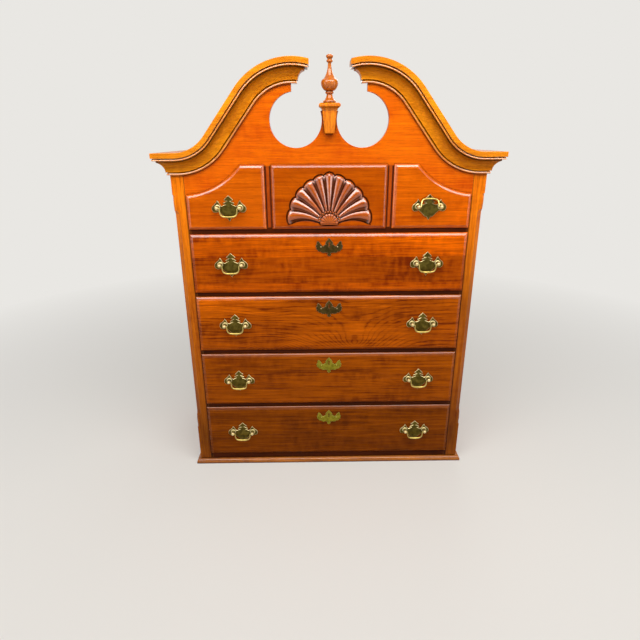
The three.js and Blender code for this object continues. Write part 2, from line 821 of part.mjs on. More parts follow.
// Carved shell. across runs from -1 to 1 over the lobes and outward from 0 at the root to 1 at
// the rim. The lobes fan out faster towards the sides and bend down as they reach the rim.
const fanTurn = 68 * degree;
const extraFanTurn = 16 * degree;
const bendShare = 0.36;
const outerBendLossShare = 0.55;
const rootSwellShare = 0.12;
const swellRangeShare = 0.76;
const flutedShare = 0.65;
const outerPower = 6;
const swellPower = 1.6;

function shellPoint(across, outward) {
  const sideways = Math.abs(across);
  const spread = across * (fanTurn + extraFanTurn * sideways);
  const bend = bendShare * (1 - outerBendLossShare * sideways ** outerPower);
  const angle = spread * (1 - bend * (1 - outward));
  const crest = (1 + Math.cos(Math.PI * shellLobes * across)) / 2;
  const fall = (shellTopRadius - shellSideRadius) * sideways;
  const rim = shellTopRadius - fall - shellScallop * (1 - crest);
  const radius = shellInnerRadius + (rim - shellInnerRadius) * outward;
  const swell = Math.sin(Math.PI * (rootSwellShare + swellRangeShare * outward ** swellPower));
  const height = shellGround + shellRelief * swell * (1 - flutedShare * (1 - crest));
  const x = radius * Math.sin(angle);
  const z = shellRootHeight + radius * Math.cos(angle);
  return new THREE.Vector3(x, -frontProud - height, z);
}

function shellCarving() {
  const stepsPerLobe = 4;
  const columns = shellLobes * stepsPerLobe;
  const rowShares = [0, 0.3, 0.55, 0.75, 0.9, 0.97, 1];
  const grid = rowShares.map((outward) => {
    const row = [];
    for (let column = 0; column <= columns; column += 1) {
      row.push(shellPoint((2 * column) / columns - 1, outward));
    }
    return row;
  });
  const hubTurn = 105 * degree;
  const hubSteps = 14;
  const hubOutline = arcPoints(0, 0, hubRadius, -hubTurn, hubTurn, hubSteps);
  const hubShares = [[1, 0], [1, 0.55], [0.93, 0.8], [0.75, 0.95], [0.4, 1]];
  const hub = loft(hubShares.map(([wide, high]) => hubOutline.map(([x, z]) => {
    const depth = -frontProud - hubRelief * high;
    return new THREE.Vector3(x * wide, depth, hubHeight + z * wide);
  })));
  return relief(grid, -frontProud).add(hub);
}

// Case
const sides = [['left', -1], ['right', 1]];
for (const [hand, side] of sides) {
  addPart(highboy, `${hand}_side_panel`, 'drawerWood', sidePanel(side));
  addPart(highboy, `${hand}_corner_post`, 'mouldingWood', cornerPost(side));
  addPart(highboy, `${hand}_scroll_moulding`, 'mouldingWood', scrollMoulding(side));
  addPart(highboy, `${hand}_side_cornice`, 'mouldingWood', sideCornice(side));
  addPart(highboy, `${hand}_divider`, 'mouldingWood', divider(side));
}
addPart(highboy, 'scroll_board', 'scrollWood', scrollBoard());
addPart(highboy, 'base_moulding', 'mouldingWood', baseMoulding());
addPart(highboy, 'finial_plinth', 'mouldingWood', finialPlinth());

const finialMesh = addPart(highboy, 'finial', 'mouldingWood', finial());
finialMesh.position.set(0, -capCentreReach, neckHeight + capHeight);

const backInner = caseHalf - backRebate;
const backFace = caseDepth - backThickness;
const backPanel = block(-backInner, backInner, backFace, caseDepth, 0, caseHeight);
addPart(highboy, 'back_panel', 'insideWood', backPanel);

const topPlan = notchedPlan(boardThickness, caseHalf - boardThickness);
const caseTop = planPrism(topPlan, caseHeight - boardThickness, caseHeight);
addPart(highboy, 'case_top', 'insideWood', caseTop);

const frameNames = ['bottom_frame', 'lower_frame', 'middle_frame', 'upper_frame', 'top_frame'];
frameNames.forEach((name, index) => {
  const frame = index === 0 ? bottomFrame() : webFrame(frameTops[index]);
  addPart(highboy, name, 'drawerWood', frame);
});

// Pulls and escutcheons, shaped once and placed on each drawer
const plateSolid = pullPlate();
const bailSolid = bail();
const escutcheonSolid = escutcheon();

function addPull(drawer, prefix, x, z, turn) {
  const plate = addPart(drawer, `${prefix}plate`, 'brass', plateSolid);
  plate.position.set(x, -frontProud, z);
  const hanging = addPart(drawer, `${prefix}bail`, 'brass', bailSolid);
  hanging.position.set(x, -frontProud - plateThickness - studReach, z);
  hanging.rotation.x = -turn;
}

// Wide drawers
const wideNames = ['bottom', 'lower', 'middle', 'upper'];
wideNames.forEach((name, index) => {
  const row = rows[index];
  const drawer = new THREE.Group();
  highboy.add(drawer);
  const half = openingHalf + lipOverlap;
  const front = drawerFront(-half, half, row.bottom, row.top);
  addPart(drawer, `${name}_drawer_front`, 'drawerWood', front);
  const boxHalf = openingHalf - drawerClearance;
  const boxBottom = row.bottom + lipOverlap + runnerClearance;
  const boxHeight = row.top - row.bottom - 2 * lipOverlap - sideHeadroom;
  const box = drawerBox(-boxHalf, boxHalf, boxBottom, boxHeight);
  addPart(drawer, `${name}_drawer_box`, 'insideWood', box);
  const middle = (row.bottom + row.top) / 2;
  for (const [hand, side] of sides) {
    addPull(drawer, `${name}_drawer_${hand}_`, side * (half - pullInset), middle, 0);
  }
  const plate = addPart(drawer, `${name}_drawer_escutcheon`, 'brass', escutcheonSolid);
  plate.position.set(0, -frontProud, row.top - escutcheonDrop - escutcheonHeight / 2);
});

// Small drawers. The arched ones mirror each other, and the right one's bail is turned up.
const smallBoxBottom = smallRow.bottom + lipOverlap + runnerClearance;
for (const [hand, side] of sides) {
  const drawer = new THREE.Group();
  highboy.add(drawer);
  const innerLip = centreHalf + dividerWidth - lipOverlap;
  const outerLip = openingHalf + lipOverlap;
  const front = drawerFront(innerLip, outerLip, smallRow.bottom, smallRow.top, side, true);
  addPart(drawer, `${hand}_small_drawer_front`, 'drawerWood', front);
  const boxEnds = [
    side * (centreHalf + dividerWidth + drawerClearance),
    side * (openingHalf - drawerClearance),
  ].sort((a, b) => a - b);
  const sideHeight = archHeight(openingHalf, lipOverlap) - smallSideHeadroom - smallBoxBottom;
  const box = drawerBox(...boxEnds, smallBoxBottom, sideHeight);
  addPart(drawer, `${hand}_small_drawer_box`, 'insideWood', box);
  const pullX = side * ((innerLip + outerLip) / 2 - smallPullShift);
  const turn = hand === 'right' ? raisedBailAngle : 0;
  addPull(drawer, `${hand}_small_drawer_`, pullX, smallRow.bottom + smallPullHeight, turn);
}

const centreDrawer = new THREE.Group();
highboy.add(centreDrawer);
const centreLip = centreHalf + lipOverlap;
const centreFront = drawerFront(-centreLip, centreLip, smallRow.bottom, smallRow.top);
addPart(centreDrawer, 'centre_small_drawer_front', 'drawerWood', centreFront);
const centreBoxHalf = centreHalf - drawerClearance;
const centreBoxHeight = smallFrontHeight - 2 * lipOverlap - sideHeadroom;
const centreBox = drawerBox(-centreBoxHalf, centreBoxHalf, smallBoxBottom, centreBoxHeight);
addPart(centreDrawer, 'centre_small_drawer_box', 'insideWood', centreBox);
addPart(centreDrawer, 'shell_carving', 'scrollWood', shellCarving());

export default highboy;
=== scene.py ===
# %% [markdown]
# # The upper case of a scroll-top highboy
#
# This notebook dresses a finished cabinet model. The frame holds every piece at its true size, as
# plain facets. Here the moulded, carved and turned pieces get smooth surfaces, and every piece gets
# its finish: glossy cherry outside, bare wood inside, antiqued brass on the drawers. The frame is
# loaded first. Nothing that is added may change the cabinet's size.

# %% Load the fixed frame
import math

import bpy
import numpy as np
from mathutils import Matrix
from mathutils.geometry import tessellate_polygon


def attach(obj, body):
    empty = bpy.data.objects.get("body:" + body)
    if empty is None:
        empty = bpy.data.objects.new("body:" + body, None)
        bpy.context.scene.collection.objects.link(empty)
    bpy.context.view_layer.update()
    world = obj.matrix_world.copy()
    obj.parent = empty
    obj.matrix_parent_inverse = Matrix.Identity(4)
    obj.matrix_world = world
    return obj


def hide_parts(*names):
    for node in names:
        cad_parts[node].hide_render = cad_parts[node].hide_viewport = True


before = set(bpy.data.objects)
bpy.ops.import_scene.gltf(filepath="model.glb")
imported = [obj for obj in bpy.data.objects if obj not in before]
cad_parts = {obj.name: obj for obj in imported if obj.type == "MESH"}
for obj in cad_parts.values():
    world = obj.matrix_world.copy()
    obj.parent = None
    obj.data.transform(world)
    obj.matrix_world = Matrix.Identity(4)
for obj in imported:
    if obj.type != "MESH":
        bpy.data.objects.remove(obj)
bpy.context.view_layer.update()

# %% [markdown]
# ## The camera
#
# The view is from a metre above the floor, near the case and a little left of its middle, looking
# down. The numbers come from fitting a pinhole camera to the corners of the case, so the render can
# be laid over the photograph. A longer lens would flatten the taper that this close view gives.

# %% Place the camera
CAMERA_PLACE = (-0.0445, -1.5875, 1.0409)
YAW, PITCH, ROLL = 0.0123234, 0.3616212, -0.0049971
SENSOR, FOCAL_PIXELS, FRAME_PIXELS = 36, 481, 640
LENS = SENSOR * FOCAL_PIXELS / FRAME_PIXELS


def camera_axes(yaw, pitch, roll):
    """Right, up and backward axes: turn by yaw about Z, tip down by pitch, then roll about the view."""
    forward = np.array([math.sin(yaw) * math.cos(pitch), math.cos(yaw) * math.cos(pitch), -math.sin(pitch)])
    level = np.array([math.cos(yaw), -math.sin(yaw), 0.0])
    upright = np.cross(level, forward)
    right = math.cos(roll) * level + math.sin(roll) * upright
    up = math.cos(roll) * upright - math.sin(roll) * level
    return right, up, -forward


camera_data = bpy.data.cameras.new("camera")
camera_data.lens = LENS
camera_data.sensor_width = SENSOR
camera = bpy.data.objects.new("camera", camera_data)
bpy.context.scene.collection.objects.link(camera)
axes = np.array(camera_axes(YAW, PITCH, ROLL)).T
camera.matrix_world = Matrix.Translation(CAMERA_PLACE) @ Matrix(axes.tolist()).to_4x4()
bpy.context.scene.camera = camera
print("lens", round(LENS, 2), "mm at", CAMERA_PLACE)

# %% [markdown]
# ## From formulas to meshes
#
# Every new surface is an array of points. The formulas work in millimetres, with y = 0 on the front
# plane of the corner posts, as a cabinet maker would measure. A closed skin over a row of rings
# makes nearly everything here: a moulding, a turned finial, a bail and a drawer front's edge differ
# only in how the rings are worked out. Ready-made primitives would give none of these outlines.

# %% Skins over rings
FRONT_PLANE = -203.5


def span(*loops):
    """Triangles that fill the first flat loop of points and leave the others open, as numbers of points."""
    return np.array(tessellate_polygon([[tuple(point) for point in loop] for loop in loops]))


def fill(ring):
    """Triangles that fill a flat ring of points, turning the same way as the ring."""
    triangles = span(ring)
    ahead = np.cross(ring, np.roll(ring, -1, 0)).sum(0)
    a, b, c = ring[triangles[:, 0]], ring[triangles[:, 1]], ring[triangles[:, 2]]
    same = np.cross(b - a, c - a).sum(0) @ ahead > 0
    return triangles if same else triangles[:, ::-1]


def skin(rings):
    """A closed skin: quads join each ring to the next one, and the first and last ring are filled."""
    rings = np.asarray(rings, float)
    count, corners, _ = rings.shape
    index = np.arange(count * corners).reshape(count, corners)
    near, far = index[:-1], index[1:]
    quads = np.stack([near, np.roll(near, -1, 1), np.roll(far, -1, 1), far], -1).reshape(-1, 4)
    start = fill(rings[0])[:, ::-1]
    end = fill(rings[-1]) + index[-1, 0]
    return rings.reshape(-1, 3), quads, np.concatenate([start, end])


def outward(surface):
    """The same surface with its faces turned out: the volume under them must be positive."""
    points, quads, triangles = surface
    corners = np.concatenate([quads[:, [0, 1, 2]], quads[:, [0, 2, 3]], triangles])
    a, b, c = points[corners[:, 0]], points[corners[:, 1]], points[corners[:, 2]]
    if np.einsum("ij,ij->i", a, np.cross(b, c)).sum() < 0:
        return points, quads[:, ::-1], triangles[:, ::-1]
    return surface


def facing(faces, points, way):
    """The same faces, each turned to the back for way = 1 or to the front for way = -1."""
    a, b, c = (points[faces[:, k]] for k in (0, 1, -1))
    kept = np.cross(b - a, c - a)[:, 1] * way > 0
    return np.where(kept[:, None], faces, faces[:, ::-1])


def make_piece(name, surfaces, body, slot, node, sharp=38, **masks):
    """One object from several skins in case millimetres, riding on a body and standing for a CAD node.
    Each mask is kept as an attribute with one number per point."""
    points, faces, first = [], [], 0
    for where, quads, triangles in map(outward, surfaces):
        points.append(where)
        faces += (quads + first).tolist() + (triangles + first).tolist()
        first += len(where)
    placed = (np.concatenate(points) + [0, FRONT_PLANE, 0]) / 1000
    mesh = bpy.data.meshes.new(name)
    mesh.from_pydata(placed.tolist(), [], faces)
    mesh.shade_smooth()
    mesh.set_sharp_from_angle(angle=math.radians(sharp))
    for label, values in masks.items():
        mesh.attributes.new(label, "FLOAT", "POINT").data.foreach_set("value", np.asarray(values, np.float32))
    piece = bpy.data.objects.new(name, mesh)
    bpy.context.scene.collection.objects.link(piece)
    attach(piece, body)
    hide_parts(node)
    print(f"{name}: {len(placed)} points, {len(faces)} faces")
    return piece


print("skin, facing and make_piece are ready")

# %% [markdown]
# Outlines are made of arcs and of curves that flow through a few points. A moulding needs both: its
# coves and beads flow, and the arrises between them stay sharp, so runs of points are put end to end.

# %% Outlines from arcs and curves


def arc(across, up, radius, start, end, steps):
    """Points at centre + radius * (sin, cos) of angles in degrees, evenly from start to end."""
    angle = np.radians(np.linspace(start, end, steps + 1))
    return np.stack([across + radius * np.sin(angle), up + radius * np.cos(angle)], -1)


def flow(points, steps):
    """A Catmull-Rom curve: between two points, a cubic whose slopes follow the neighbours on each side."""
    p = np.asarray(points, float)
    p = np.concatenate([[2 * p[0] - p[1]], p, [2 * p[-1] - p[-2]]])
    t = np.linspace(0, 1, steps, endpoint=False)[None, :, None]
    a, b, c, d = p[:-3, None], p[1:-2, None], p[2:-1, None], p[3:, None]
    curve = 0.5 * (2 * b + (c - a) * t + (2 * a - 5 * b + 4 * c - d) * t**2 + (3 * b - a - 3 * c + d) * t**3)
    return np.concatenate([curve.reshape(-1, p.shape[1]), p[-2:-1]])


def chain(*runs):
    """Runs of points end to end, with the doubled point at each joint left out."""
    joined = [runs[0]]
    for last, run in zip(runs, runs[1:]):
        joined.append(run[1:] if np.allclose(run[0], last[-1]) else run)
    return np.concatenate([np.asarray(run, float) for run in joined])


def rising(value, start, end):
    """0 before the start, 1 past the end and even between them. The start may be the larger number."""
    return np.clip((value - start) / (end - start), 0, 1)


def mirrored(half):
    """A closed outline from the half that runs down its right side from top middle to foot middle."""
    return np.concatenate([half, half[-2:0:-1] * [-1, 1]])


def pulled_in(outline, distance):
    """The outline moved inwards along its corners' normals, which average the two edges beside them."""
    edge = np.roll(outline, -1, 0) - outline
    normal = np.stack([edge[:, 1], -edge[:, 0]], -1) / np.maximum(np.linalg.norm(edge, axis=1), 1e-9)[:, None]
    corner = normal + np.roll(normal, 1, 0)
    corner /= np.maximum(np.linalg.norm(corner, axis=1), 0.35)[:, None] ** 2
    area = np.cross(outline, np.roll(outline, -1, 0)).sum()
    return outline + corner * distance * (1 if area < 0 else -1)


def upright(outline, depth):
    """A front-view outline stood up at one depth: its second number is the height."""
    return np.stack([outline[:, 0], np.full(len(outline), float(depth)), outline[:, 1]], -1)


print("a quarter turn in 4 steps:", arc(0, 0, 1, 0, 90, 4).round(2).tolist())

# %% [markdown]
# ## Sizes of the case
#
# The same named sizes that the solids were built from, in millimetres. Each smooth piece is worked
# out from them again, so it covers its solid to a fraction of a millimetre.

# %% Case, rows and cornice sizes
CASE_HALF, CASE_DEPTH, CASE_TOP = 438, 445, 1005
OPENING_HALF, BOARD, POST = 395, 20, 38
LIP, GAP = 5, 0.3
ROWS = {
    "bottom": (36.5, 217), "lower": (229.5, 407.5), "middle": (420, 596.5), "upper": (609, 785),
    "small": (797.5, 974.5),
}
WIDE_ROWS = [row for row in ROWS if row != "small"]
HANDS = (("left", -1), ("right", 1))
PROJECTION = 38
FOOT_X, CROWN_X, RISE, SLOPE = 417, 98, 227, math.radians(52.5)
RADII = ((FOOT_X - CROWN_X) * math.sin(SLOPE) - RISE * math.cos(SLOPE)) / (1 - math.cos(SLOPE))
CROWN_R, FOOT_R = RADII * 0.63, RADII * 0.37
FOOT_Z, CROWN_Z = CASE_TOP + FOOT_R, CASE_TOP + RISE - CROWN_R
END_X, TIP_X = 53, 100
print("crown radius", round(CROWN_R, 1), "foot radius", round(FOOT_R, 1))

# %% [markdown]
# ## Swan-neck mouldings
#
# The cornice is the hardest piece on such a case. One section, with a fascia, a bead, a deep cove
# and a smaller bead, rises from the mitre at the corner through a hollow arc and a round arc, and
# is returned into the board at the eye. It could be a curve with a bevel profile, but a bevel turns
# with the curve and cannot give the upright mitre at one end and the shaped return at the other. So
# each ring is the section, placed by its own drop and projection.

# %% The cornice section and its path
FASCIA_FOOT, BEAD_FOOT, COVE_FOOT, SECTION_FOOT, COVE_SHADE_END = 13, 20, 50, 58, 34
COVE_R, COVE_OUT, COVE_HEAD = 28, 37, 27


def cornice_section():
    """Pairs of drop below the top edge and projection: fascia, quirked bead, cove, lower bead."""
    cove_turn = math.degrees(math.acos((COVE_OUT - COVE_HEAD) / COVE_R))
    cove = [COVE_FOOT, COVE_OUT] - arc(0, 0, COVE_R, cove_turn, 0, 18)
    bead = [(13.5, 32.4), (14.6, 33.6), (16.2, 34.7), (17.9, 35.5), (19.1, 35.4), (19.9, 34.4), (20, 33)]
    low_bead = [(50, 3.4), (51.2, 4.9), (52.8, 6.2), (54.8, 7.2), (56.3, 7.4), (57.6, 6.4), (58, 4.6)]
    return np.concatenate([
        [(0, 0)], arc(1.2, 36.8, 1.2, -90, 0, 4), arc(12.7, 37.2, 0.8, 0, 90, 3), flow(bead, 3),
        [(BEAD_FOOT, COVE_HEAD)], cove, flow(low_bead, 3), [(SECTION_FOOT, 0)],
    ])


SECTION = cornice_section()
DROP, OUT = SECTION[:, 0], SECTION[:, 1]


def foot_ring(angle, drop):
    """On the hollow arc: below the centre of the foot, at its radius plus the drop."""
    return FOOT_X - (FOOT_R + drop) * np.sin(angle), FOOT_Z - (FOOT_R + drop) * np.cos(angle)


def crown_ring(angle, drop):
    """On the round arc: about the centre of the crown, at its radius less the drop."""
    return CROWN_X + (CROWN_R - drop) * np.sin(angle), CROWN_Z + (CROWN_R - drop) * np.cos(angle)


def swan_neck(side):
    """Rings of the section: the mitre, 33 on the foot arc, 48 on the crown arc, and the return."""
    rise = np.linspace(0, 1, 33)[:, None]
    foot = foot_ring(SLOPE * rise, DROP)
    end_x = np.where(OUT > 0, END_X + PROJECTION - OUT, TIP_X - GAP)
    end = np.arcsin((end_x - CROWN_X) / (CROWN_R - DROP))
    over = np.linspace(0, 1, 49)[1:, None]
    crown = crown_ring(SLOPE + (end - SLOPE) * over, DROP)
    across = np.concatenate([[CASE_HALF + OUT], foot[0], crown[0]])
    height = np.concatenate([[CASE_TOP - DROP], foot[1], crown[1]])
    rings = np.stack([side * across, np.broadcast_to(-OUT, across.shape), height], -1)
    last = rings[-1:].copy()
    last[..., 1] = BOARD
    return skin(np.concatenate([rings, last]))


def side_return(side):
    """The same section along the side of the case, mitred in front and square at the back."""
    ring = np.stack([side * (CASE_HALF + OUT), GAP - OUT, CASE_TOP - DROP], -1)
    back = ring.copy()
    back[:, 1] = CASE_DEPTH
    return skin([ring, back])


def section_gloss_and_shade():
    """Gloss and painted shade along the section: the beads keep their gloss, the fascia a part of it and the
    cove none. Painted shade lies in the quirk under the upper bead and fades down the cove, which faces down."""
    bead = ((DROP > FASCIA_FOOT) & (DROP < BEAD_FOOT)) | (DROP > COVE_FOOT)
    # Painted shade: dark in the quirk under the upper bead, fading out down the cove.
    painted_shade = np.where(DROP >= BEAD_FOOT, 0.75 * rising(DROP, COVE_SHADE_END, BEAD_FOOT), 0)
    return np.where(bead, 1.0, np.where(DROP <= FASCIA_FOOT, 0.35, 0.0)), painted_shade


def make_moulding(name, node, shape):
    """A piece of the cornice; its masks repeat on every ring of the section."""
    gloss, painted_shade = np.tile(section_gloss_and_shade(), len(shape[0]) // len(SECTION))
    return make_piece(name, [shape], "case", "moulding_wood", node, moulded=gloss, hollow=painted_shade)


mouldings, returns = [], []
for hand, side in HANDS:
    mouldings.append(make_moulding(f"{hand}_swan_neck", f"{hand}_scroll_moulding", swan_neck(side)))
    returns.append(make_moulding(f"{hand}_cornice_return", f"{hand}_side_cornice", side_return(side)))

# %% [markdown]
# ## Scroll board
#
# One wide board closes the front above the drawers. Its outline follows the scrolls a little under
# their top edge, cuts two round eyes beside a narrow neck, and steps down over the arched drawers.
# The outline is a chain of arcs, and the board is that outline at four depths, with eased edges.

# %% Cut the scroll board
ARCH_DROP = SECTION_FOOT + 53.5
EYE_X, EYE_Z, EYE_R, NECK_TOP = 90, 1086, 70, 1108
OPENING_TOP = ROWS["small"][1] - LIP
LAP, UNDER = 7, 3


def arch_radius(drop):
    """The arches over the small drawers share the centre of the scroll's foot."""
    return FOOT_R + ARCH_DROP + drop


def arch_points(inner, outer, drop, steps):
    """Points of the arch between two distances from the middle, even in angle."""
    reach = arch_radius(drop)
    angle = np.linspace(math.asin((inner - FOOT_X) / reach), math.asin((outer - FOOT_X) / reach), steps + 1)
    return np.stack([FOOT_X + reach * np.sin(angle), FOOT_Z - reach * np.cos(angle)], -1)


def arch_start(height, drop):
    """Where the arch meets a level line at that height."""
    return FOOT_X - math.sqrt(arch_radius(drop) ** 2 - (FOOT_Z - height) ** 2)


LAP_HEIGHT = arch_points(OPENING_HALF, OPENING_HALF + 1, LIP, 1)[0, 1] - 5


def scroll_outline():
    """Half the board: neck, eye, under the crown arc, under the foot arc, the lap, the arch, the head."""
    neck = math.degrees(math.acos((NECK_TOP - EYE_Z) / EYE_R))
    tip = math.degrees(math.asin((TIP_X - EYE_X) / EYE_R))
    eye = arc(EYE_X, EYE_Z, EYE_R, 360 - neck, tip, 72)
    start = math.asin((TIP_X - CROWN_X) / (CROWN_R - UNDER))
    crown = np.stack(crown_ring(np.linspace(start, SLOPE, 32), UNDER), -1)
    end = math.asin((FOOT_X - OPENING_HALF - LAP) / (FOOT_R + UNDER))
    foot = np.stack(foot_ring(np.linspace(SLOPE, end, 32), UNDER), -1)
    arch = arch_points(arch_start(OPENING_TOP, LIP), OPENING_HALF, LIP, 32)[::-1]
    edge = [(OPENING_HALF + LAP, LAP_HEIGHT), (OPENING_HALF, LAP_HEIGHT)]
    return mirrored(np.concatenate([[(0, NECK_TOP)], eye, crown, foot, edge, arch, [(0, OPENING_TOP)]]))


def sawn_board(outline, front, back, arris):
    """A flat board with its edges eased by an arris: four rings, narrower at both faces."""
    tight = pulled_in(outline, arris)
    stations = [(tight, front), (outline, front + arris), (outline, back - arris), (tight, back)]
    return skin([upright(ring, depth) for ring, depth in stations])


board = sawn_board(scroll_outline(), 0, BOARD, 0.6)
scroll_board = make_piece("scroll_board_face", [board], "case", "scroll_wood", "scroll_board", sharp=50)

# %% [markdown]
# ## Corner posts
#
# The outer corner of each post is chamfered, and the chamfer dies out at both ends in a lamb's
# tongue: a small step, a swelling and a short slope down to the full cut. A bevel modifier keeps one
# width, so the posts are rings whose corner cut follows the tongue's depth along the height.

# %% Chamfer the posts
TONGUE = np.array([(0, 0), (0.03, 0.45), (0.4, 0.34), (0.8, 0.5), (0.88, 0.8), (1, 1)])
TONGUE_LENGTH, LOW_TONGUE, HIGH_TONGUE = 54, 140, 894
LEAST_CUT, FULL_CUT = 0.6, 15


def corner_cut(height):
    """Depth of the corner's cut: least at the ends, full in the middle, eased between the stations."""
    along = np.clip(np.minimum(height - LOW_TONGUE, HIGH_TONGUE - height) / TONGUE_LENGTH, 0, 1)
    place = np.clip(np.searchsorted(TONGUE[:, 0], along, "right") - 1, 0, len(TONGUE) - 2)
    t = (along - TONGUE[place, 0]) / (TONGUE[place + 1, 0] - TONGUE[place, 0])
    eased = (1 - np.cos(math.pi * t)) / 2
    depth = TONGUE[place, 1] + eased * (TONGUE[place + 1, 1] - TONGUE[place, 1])
    return np.maximum(LEAST_CUT, FULL_CUT * depth)


def chamfered_post(side):
    """Rings up the post: front, two corners of the chamfer, back, and two points for the board's notch."""
    tongue = np.linspace(0, TONGUE_LENGTH, 55)
    lap = [LAP_HEIGHT - 0.01, LAP_HEIGHT]
    height = np.concatenate([[0], LOW_TONGUE + tongue, lap, HIGH_TONGUE - tongue, [CASE_TOP]])
    height.sort()
    cut = corner_cut(height)
    notch = np.where(height >= LAP_HEIGHT, OPENING_HALF + LAP, OPENING_HALF)
    inner, outer = np.full_like(height, OPENING_HALF), np.full_like(height, CASE_HALF)
    across = np.stack([notch, outer - cut, outer, outer, inner, inner, notch], -1)
    front, back, board = 0 * cut, 0 * cut + POST, 0 * cut + BOARD
    depth = np.stack([front, front, cut, back, back, board, board - 0.1], -1)
    return skin(np.stack([side * across, depth, np.broadcast_to(height[:, None], across.shape)], -1))


posts = []
for hand, side in HANDS:
    name, node = f"{hand}_chamfered_post", f"{hand}_corner_post"
    posts.append(make_piece(name, [chamfered_post(side)], "case", "moulding_wood", node, sharp=30))

# %% [markdown]
# ## Base moulding
#
# A low two-step moulding runs round the front and both sides. Its four rings are the section at the
# two back ends and the two mitred corners.

# %% Run the base moulding
OGEE = [(8.4, 11.6), (9.6, 10.6), (9.8, 8.2), (11.6, 5.6), (13.8, 4.0), (15.2, 3.6)]
BASE = chain(
    [(0, 0), (0, 10.7)], arc(1, 10.7, 1, -90, 0, 3), [(8, 11.7)], flow(OGEE, 5), [(16, 3.2), (16, 0)],
)


def base_run():
    """The section, height and projection, at left back, left corner, right corner and right back."""
    up, out = BASE[:, 0], BASE[:, 1]
    ends = [(-1, CASE_DEPTH + 0 * out), (-1, -out), (1, -out), (1, CASE_DEPTH + 0 * out)]
    return skin([np.stack([side * (CASE_HALF + out), depth, up], -1) for side, depth in ends])


base = make_piece("base_run", [base_run()], "case", "moulding_wood", "base_moulding")

# %% [markdown]
# ## Finial and plinth
#
# The finial is turned on a lathe: foot, waist and ring, the full bulb with a crisp shoulder, a thin
# neck, a bead and a ball. It stands on a moulded square cap over a tapered block. A lathe profile
# needs both flowing and sharp places, so the profile is a chain of flowing runs that meet at arrises.
# The profiles are written in shares of the full radius and height.

# %% Turn the finial
FINIAL_FOOT, FINIAL_R, FINIAL_HIGH = 1126, 22.4, 114
CAP_MIDDLE, CAP_HALF, CAP_HIGH = -10, 28, 18


def turned(profile, sides, across, depth, foot):
    """A profile of radius and height swept round an upright axis."""
    angle = np.linspace(0, 2 * math.pi, sides, endpoint=False)
    radius, height = profile[:, :1], profile[:, 1:]
    sweep = [across + radius * np.cos(angle), depth + radius * np.sin(angle), foot + height + 0 * angle]
    return skin(np.stack(sweep, -1))


FINIAL = chain(
    [(0.02, -0.114), (0.205, -0.114), (0.205, 0)],
    flow([(0.7, 0), (0.75, 0.012), (0.76, 0.03), (0.72, 0.052), (0.64, 0.06)], 5),
    flow([(0.6, 0.062), (0.52, 0.085), (0.42, 0.12), (0.35, 0.16), (0.34, 0.19)], 8),
    flow([(0.38, 0.193), (0.46, 0.203), (0.49, 0.22), (0.46, 0.238), (0.4, 0.247)], 5),
    flow([(0.46, 0.253), (0.63, 0.268), (0.83, 0.312), (0.96, 0.363), (1, 0.415), (0.96, 0.455),
          (0.87, 0.484)], 8),
    flow([(0.8, 0.489), (0.76, 0.494), (0.6, 0.525), (0.4, 0.6), (0.27, 0.68), (0.205, 0.76),
          (0.19, 0.82)], 8),
    flow([(0.22, 0.826), (0.33, 0.838), (0.37, 0.858), (0.33, 0.88), (0.24, 0.893)], 6),
    flow([(0.26, 0.905), (0.37, 0.928), (0.41, 0.952), (0.36, 0.975), (0.2, 0.991), (0.1, 0.996),
          (0.02, 1)], 6),
) * [FINIAL_R, FINIAL_HIGH]
lathe = turned(FINIAL, 72, 0, CAP_MIDDLE, FINIAL_FOOT)
finial = make_piece("turned_finial", [lathe], "case", "moulding_wood", "finial", sharp=42)

# %% Mould the cap, taper the plinth
CAP = chain(
    [(0.7, 0)], flow([(0.73, 0.02), (0.74, 0.14), (0.8, 0.3), (0.88, 0.4)], 6), [(0.86, 0.45), (0.975, 0.48)],
    flow([(0.99, 0.5), (0.997, 0.56), (0.998, 0.64), (0.997, 0.72), (0.99, 0.8), (0.965, 0.84)], 5),
    flow([(0.95, 0.86), (0.9, 0.92), (0.84, 0.98), (0.8, 1)], 4),
) * [CAP_HALF, CAP_HIGH]
SHAFT_FOOT, SHAFT_HIGH = 1052, 56


def square_ring(half, height):
    """Four corners of a level square about the cap's middle."""
    corners = np.array([(-1, -1), (1, -1), (1, 1), (-1, 1)]) * half
    return np.column_stack([corners[:, 0], CAP_MIDDLE + corners[:, 1], np.full(4, float(height))])


def tapered_block():
    """The plinth's shaft: wider and deeper at the top, eased at its foot and its two front arrises."""
    up, full = np.array([(0, 0.9), (0.012, 0.96), (0.03, 1), (0.99, 1), (1, 0.99)]).T
    half, reach, wall = (25.5 + 12.5 * up) / 2 * full, (24 + 6 * up) * full, 0 * up
    across = np.stack([1 - half, half - 1, half, half, -half, -half], -1)
    depth = np.stack([-reach, -reach, 1 - reach, wall, wall, 1 - reach], -1)
    height = np.broadcast_to((SHAFT_FOOT + SHAFT_HIGH * up)[:, None], across.shape)
    return skin(np.stack([across, depth, height], -1))


cap = skin([square_ring(half, NECK_TOP + up) for half, up in CAP])
plinth = make_piece("plinth_and_cap", [tapered_block(), cap], "case", "moulding_wood", "finial_plinth")

# %% [markdown]
# ## Drawer fronts
#
# Each front overlaps its opening with a lip. Round the face runs a thumbnail moulding: a curve of
# three arcs, steep at the lip and flatter inwards, and a small step before the flat field. The front
# is its outline pulled in by different amounts at different depths. The two outer small fronts have
# an arched head.

# %% Mould the drawer fronts
FIELD = -10
FRONT_HALF, SMALL_NEAR, CENTRE_HALF = OPENING_HALF + LIP, 178.5, 161.5


